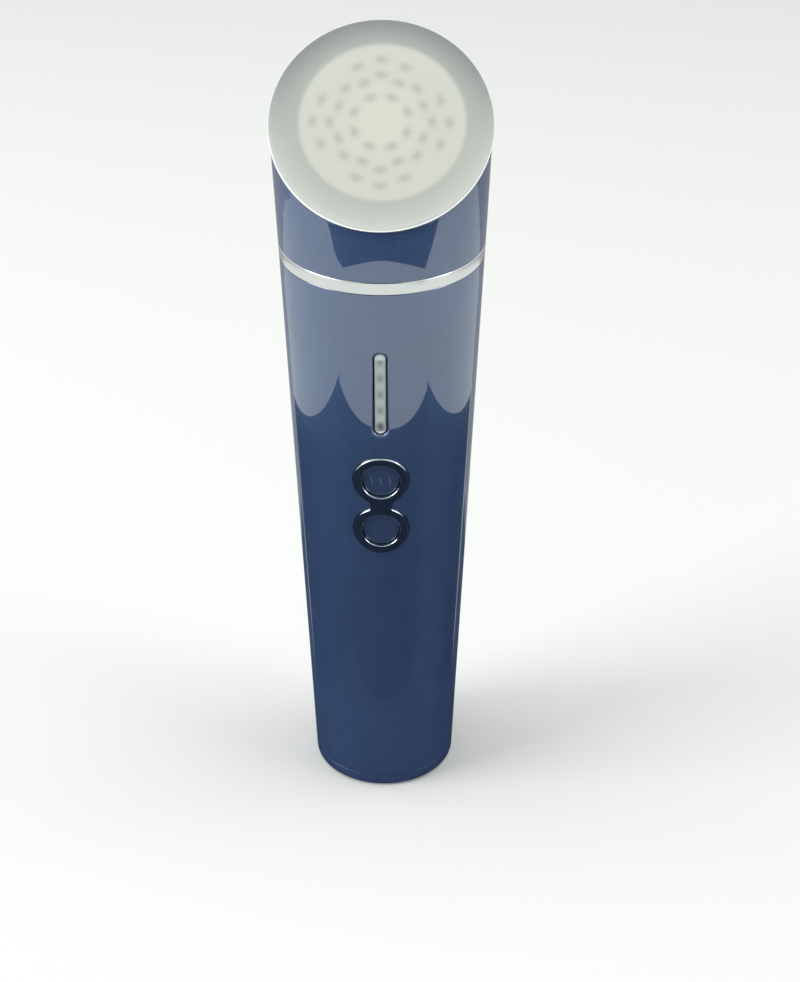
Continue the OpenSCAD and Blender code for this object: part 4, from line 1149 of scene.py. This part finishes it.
def shown_to(tree, rays, shown, other):
    """One shader for the rays named and another for all others."""
    path = tree.nodes.new("ShaderNodeLightPath")
    seen = path.outputs[rays[0]]
    for ray in rays[1:]:
        seen = maths(tree, "MAXIMUM", seen, path.outputs[ray])
    return step(tree, "ShaderNodeMixShader", seen, other.outputs[0], shown.outputs[0]).outputs[0]


def pale_floor():
    """Pale floor with a faint grain, which reflections see evenly lit."""
    material, tree, shader, place = finish("pale_floor", 0.9, specular=0.1)
    grain = noise(tree, place, 900)
    tree.links.new(mix(tree, grain, (0.83, 0.845, 0.815), (0.85, 0.86, 0.835)), shader.inputs["Base Color"])
    glow = step(tree, "ShaderNodeEmission", (0.72, 0.79, 0.78, 1))
    both = shown_to(tree, ["Is Glossy Ray"], glow, shader)
    tree.links.new(both, tree.nodes["Material Output"].inputs["Surface"])
    return material


FLOOR = 6
floor_corners = [(-FLOOR, -FLOOR, 0), (FLOOR, -FLOOR, 0), (FLOOR, FLOOR, 0), (-FLOOR, FLOOR, 0)]
stage_plane("floor", floor_corners, pale_floor())

# Cards stand round the base and far in front, seen in reflections alone: dark ones that keep the paint
# deep blue, and a grey one on the floor behind and beside the object. Their places are in metres
dark_card = moulded("dark_card", srgb(41, 59, 84), 0.9)
grey_card = moulded("grey_card", srgb(150, 150, 154), 0.9)
CARD_Z = 0.0002
CARD_H = 0.0822
FRONT_LEFT, FRONT_RIGHT = (-0.0476, -0.0491), (0.0487, -0.0431)
BACK_LEFT, BACK_RIGHT = (-0.0395, 0.0197), (0.0408, 0.0204)
OPEN_LEFT, OPEN_RIGHT = (-0.087, 0.088), (0.087, 0.088)
# Front card: the height of its gable's peak, how blunt the peak is and how far the ends drop
GABLE_TOP, GABLE_BLUNT, GABLE_DROP = 0.0838, 0.0004, 0.004
# Far card: its place, its top, the left and right ends of its arched lower edge, and the arch
FAR_Y, FAR_TOP = -0.24, 0.6
ARCH_LEFT, ARCH_RIGHT = -0.187, 0.252
ARCH_TOP, ARCH_BLUNT, ARCH_SLOPE = 0.17, 0.035, 0.66
FAR_LEFT = [(-0.09, FAR_TOP), (-0.112, 0.2), (-0.157, 0.169)]
FAR_LEFT += [(-0.186, 0.135), (-0.21, 0.096), (-0.21, 0.064)]
FAR_RIGHT = [(0.251, 0.051), (0.243, 0.082), (0.219, 0.115)]
FAR_RIGHT += [(0.183, 0.146), (0.12, 0.185), (0.1, FAR_TOP)]
# Edge of the grey card on its right side, from near the object outwards. Its left side is alike
GREY_EDGE = [(0.145, 0.17), (0.158, 0.202), (0.204, 0.203), (0.243, 0.178), (0.283, 0.13), (0.353, 0)]
GREY_EDGE += [(0.42, -0.12), (0.9, -0.12), (0.9, 0.9)]


def standing(a, b):
    """Corners of a card that stands on the floor between two points."""
    return [(*a, 0), (*b, 0), (*b, CARD_H), (*a, CARD_H)]


def lying(*places):
    """Corners of a card that lies on the floor."""
    return [(*place, CARD_Z) for place in places]


def facing(points):
    """Points (x, height) of the far card."""
    return [(x, FAR_Y, z) for x, z in points]


def front_edge(share):
    """Place on the front card's top edge, a low gable, at a share of its way from right to left."""
    x = FRONT_RIGHT[0] + (FRONT_LEFT[0] - FRONT_RIGHT[0]) * share
    y = FRONT_RIGHT[1] + (FRONT_LEFT[1] - FRONT_RIGHT[1]) * share
    return (x, y, GABLE_TOP - math.hypot(GABLE_BLUNT, GABLE_DROP * (2 * share - 1)))


def far_edge(share):
    """Place on the far card's arched lower edge, at a share of its way from left to right."""
    x = ARCH_LEFT + (ARCH_RIGHT - ARCH_LEFT) * share
    return (x, FAR_Y, max(ARCH_TOP - math.hypot(ARCH_BLUNT, ARCH_SLOPE * x), CARD_Z))


def add_cards():
    """All cards of the room."""
    gable = [front_edge(i / 12) for i in range(13)]
    arch = [far_edge(i / 24) for i in range(25)]
    floor_round_base = lying(FRONT_LEFT, FRONT_RIGHT, BACK_RIGHT, OPEN_RIGHT, OPEN_LEFT, BACK_LEFT)
    left_edge = [(-x, y) for x, y in reversed(GREY_EDGE)]
    cards = {
        "front_card": (dark_card, [(*FRONT_LEFT, 0), (*FRONT_RIGHT, 0), *gable]),
        "left_card": (dark_card, standing(BACK_LEFT, FRONT_LEFT)),
        "right_card": (dark_card, standing(FRONT_RIGHT, BACK_RIGHT)),
        "low_card": (dark_card, floor_round_base),
        "far_card": (dark_card, [*facing(FAR_LEFT), *arch, *facing(FAR_RIGHT)]),
        "grey_card": (grey_card, lying(OPEN_LEFT, OPEN_RIGHT, *GREY_EDGE, *left_edge)),
    }
    for name, (material, corners) in cards.items():
        card = stage_plane(name, corners, material)
        card.visible_camera = False
        card.visible_diffuse = False
        card.visible_shadow = False
        card.visible_transmission = False


add_cards()


def soft_room():
    """The room lights the object softly, and shows pale to the camera and in reflections."""
    world = bpy.data.worlds.new("soft_room")
    world.use_nodes = True
    tree = world.node_tree
    soft = tree.nodes["Background"]
    soft.inputs["Color"].default_value = (0.9, 0.92, 0.93, 1)
    soft.inputs["Strength"].default_value = 0.4
    pale = step(tree, "ShaderNodeBackground", (0.86, 0.88, 0.87, 1))
    both = shown_to(tree, ["Is Camera Ray", "Is Glossy Ray", "Is Transmission Ray"], pale, soft)
    tree.links.new(both, tree.nodes["World Output"].inputs["Surface"])
    return world


def panel_lamp(name, place, aim, wide, deep, power):
    """A soft panel lamp that points at a place."""
    data = bpy.data.lights.new(name, "AREA")
    data.shape = "RECTANGLE"
    data.size = wide
    data.size_y = deep
    data.energy = power
    made = placed(name, data)
    made.location = place
    made.rotation_euler = (Vector(aim) - Vector(place)).to_track_quat("-Z", "Y").to_euler()


scene.world = soft_room()
panel_lamp("overhead_lamp", (0, 0.1, 1.25), (0, 0.1, 0), wide=2.4, deep=0.6, power=12)
panel_lamp("left_lamp", (-1.2, -0.4, 0.7), (0, 0, 0.1), wide=0.7, deep=0.7, power=11)
panel_lamp("right_lamp", (1.2, -0.5, 0.6), (0, 0, 0.1), wide=0.5, deep=0.5, power=4)

scene.view_settings.view_transform = "Standard"
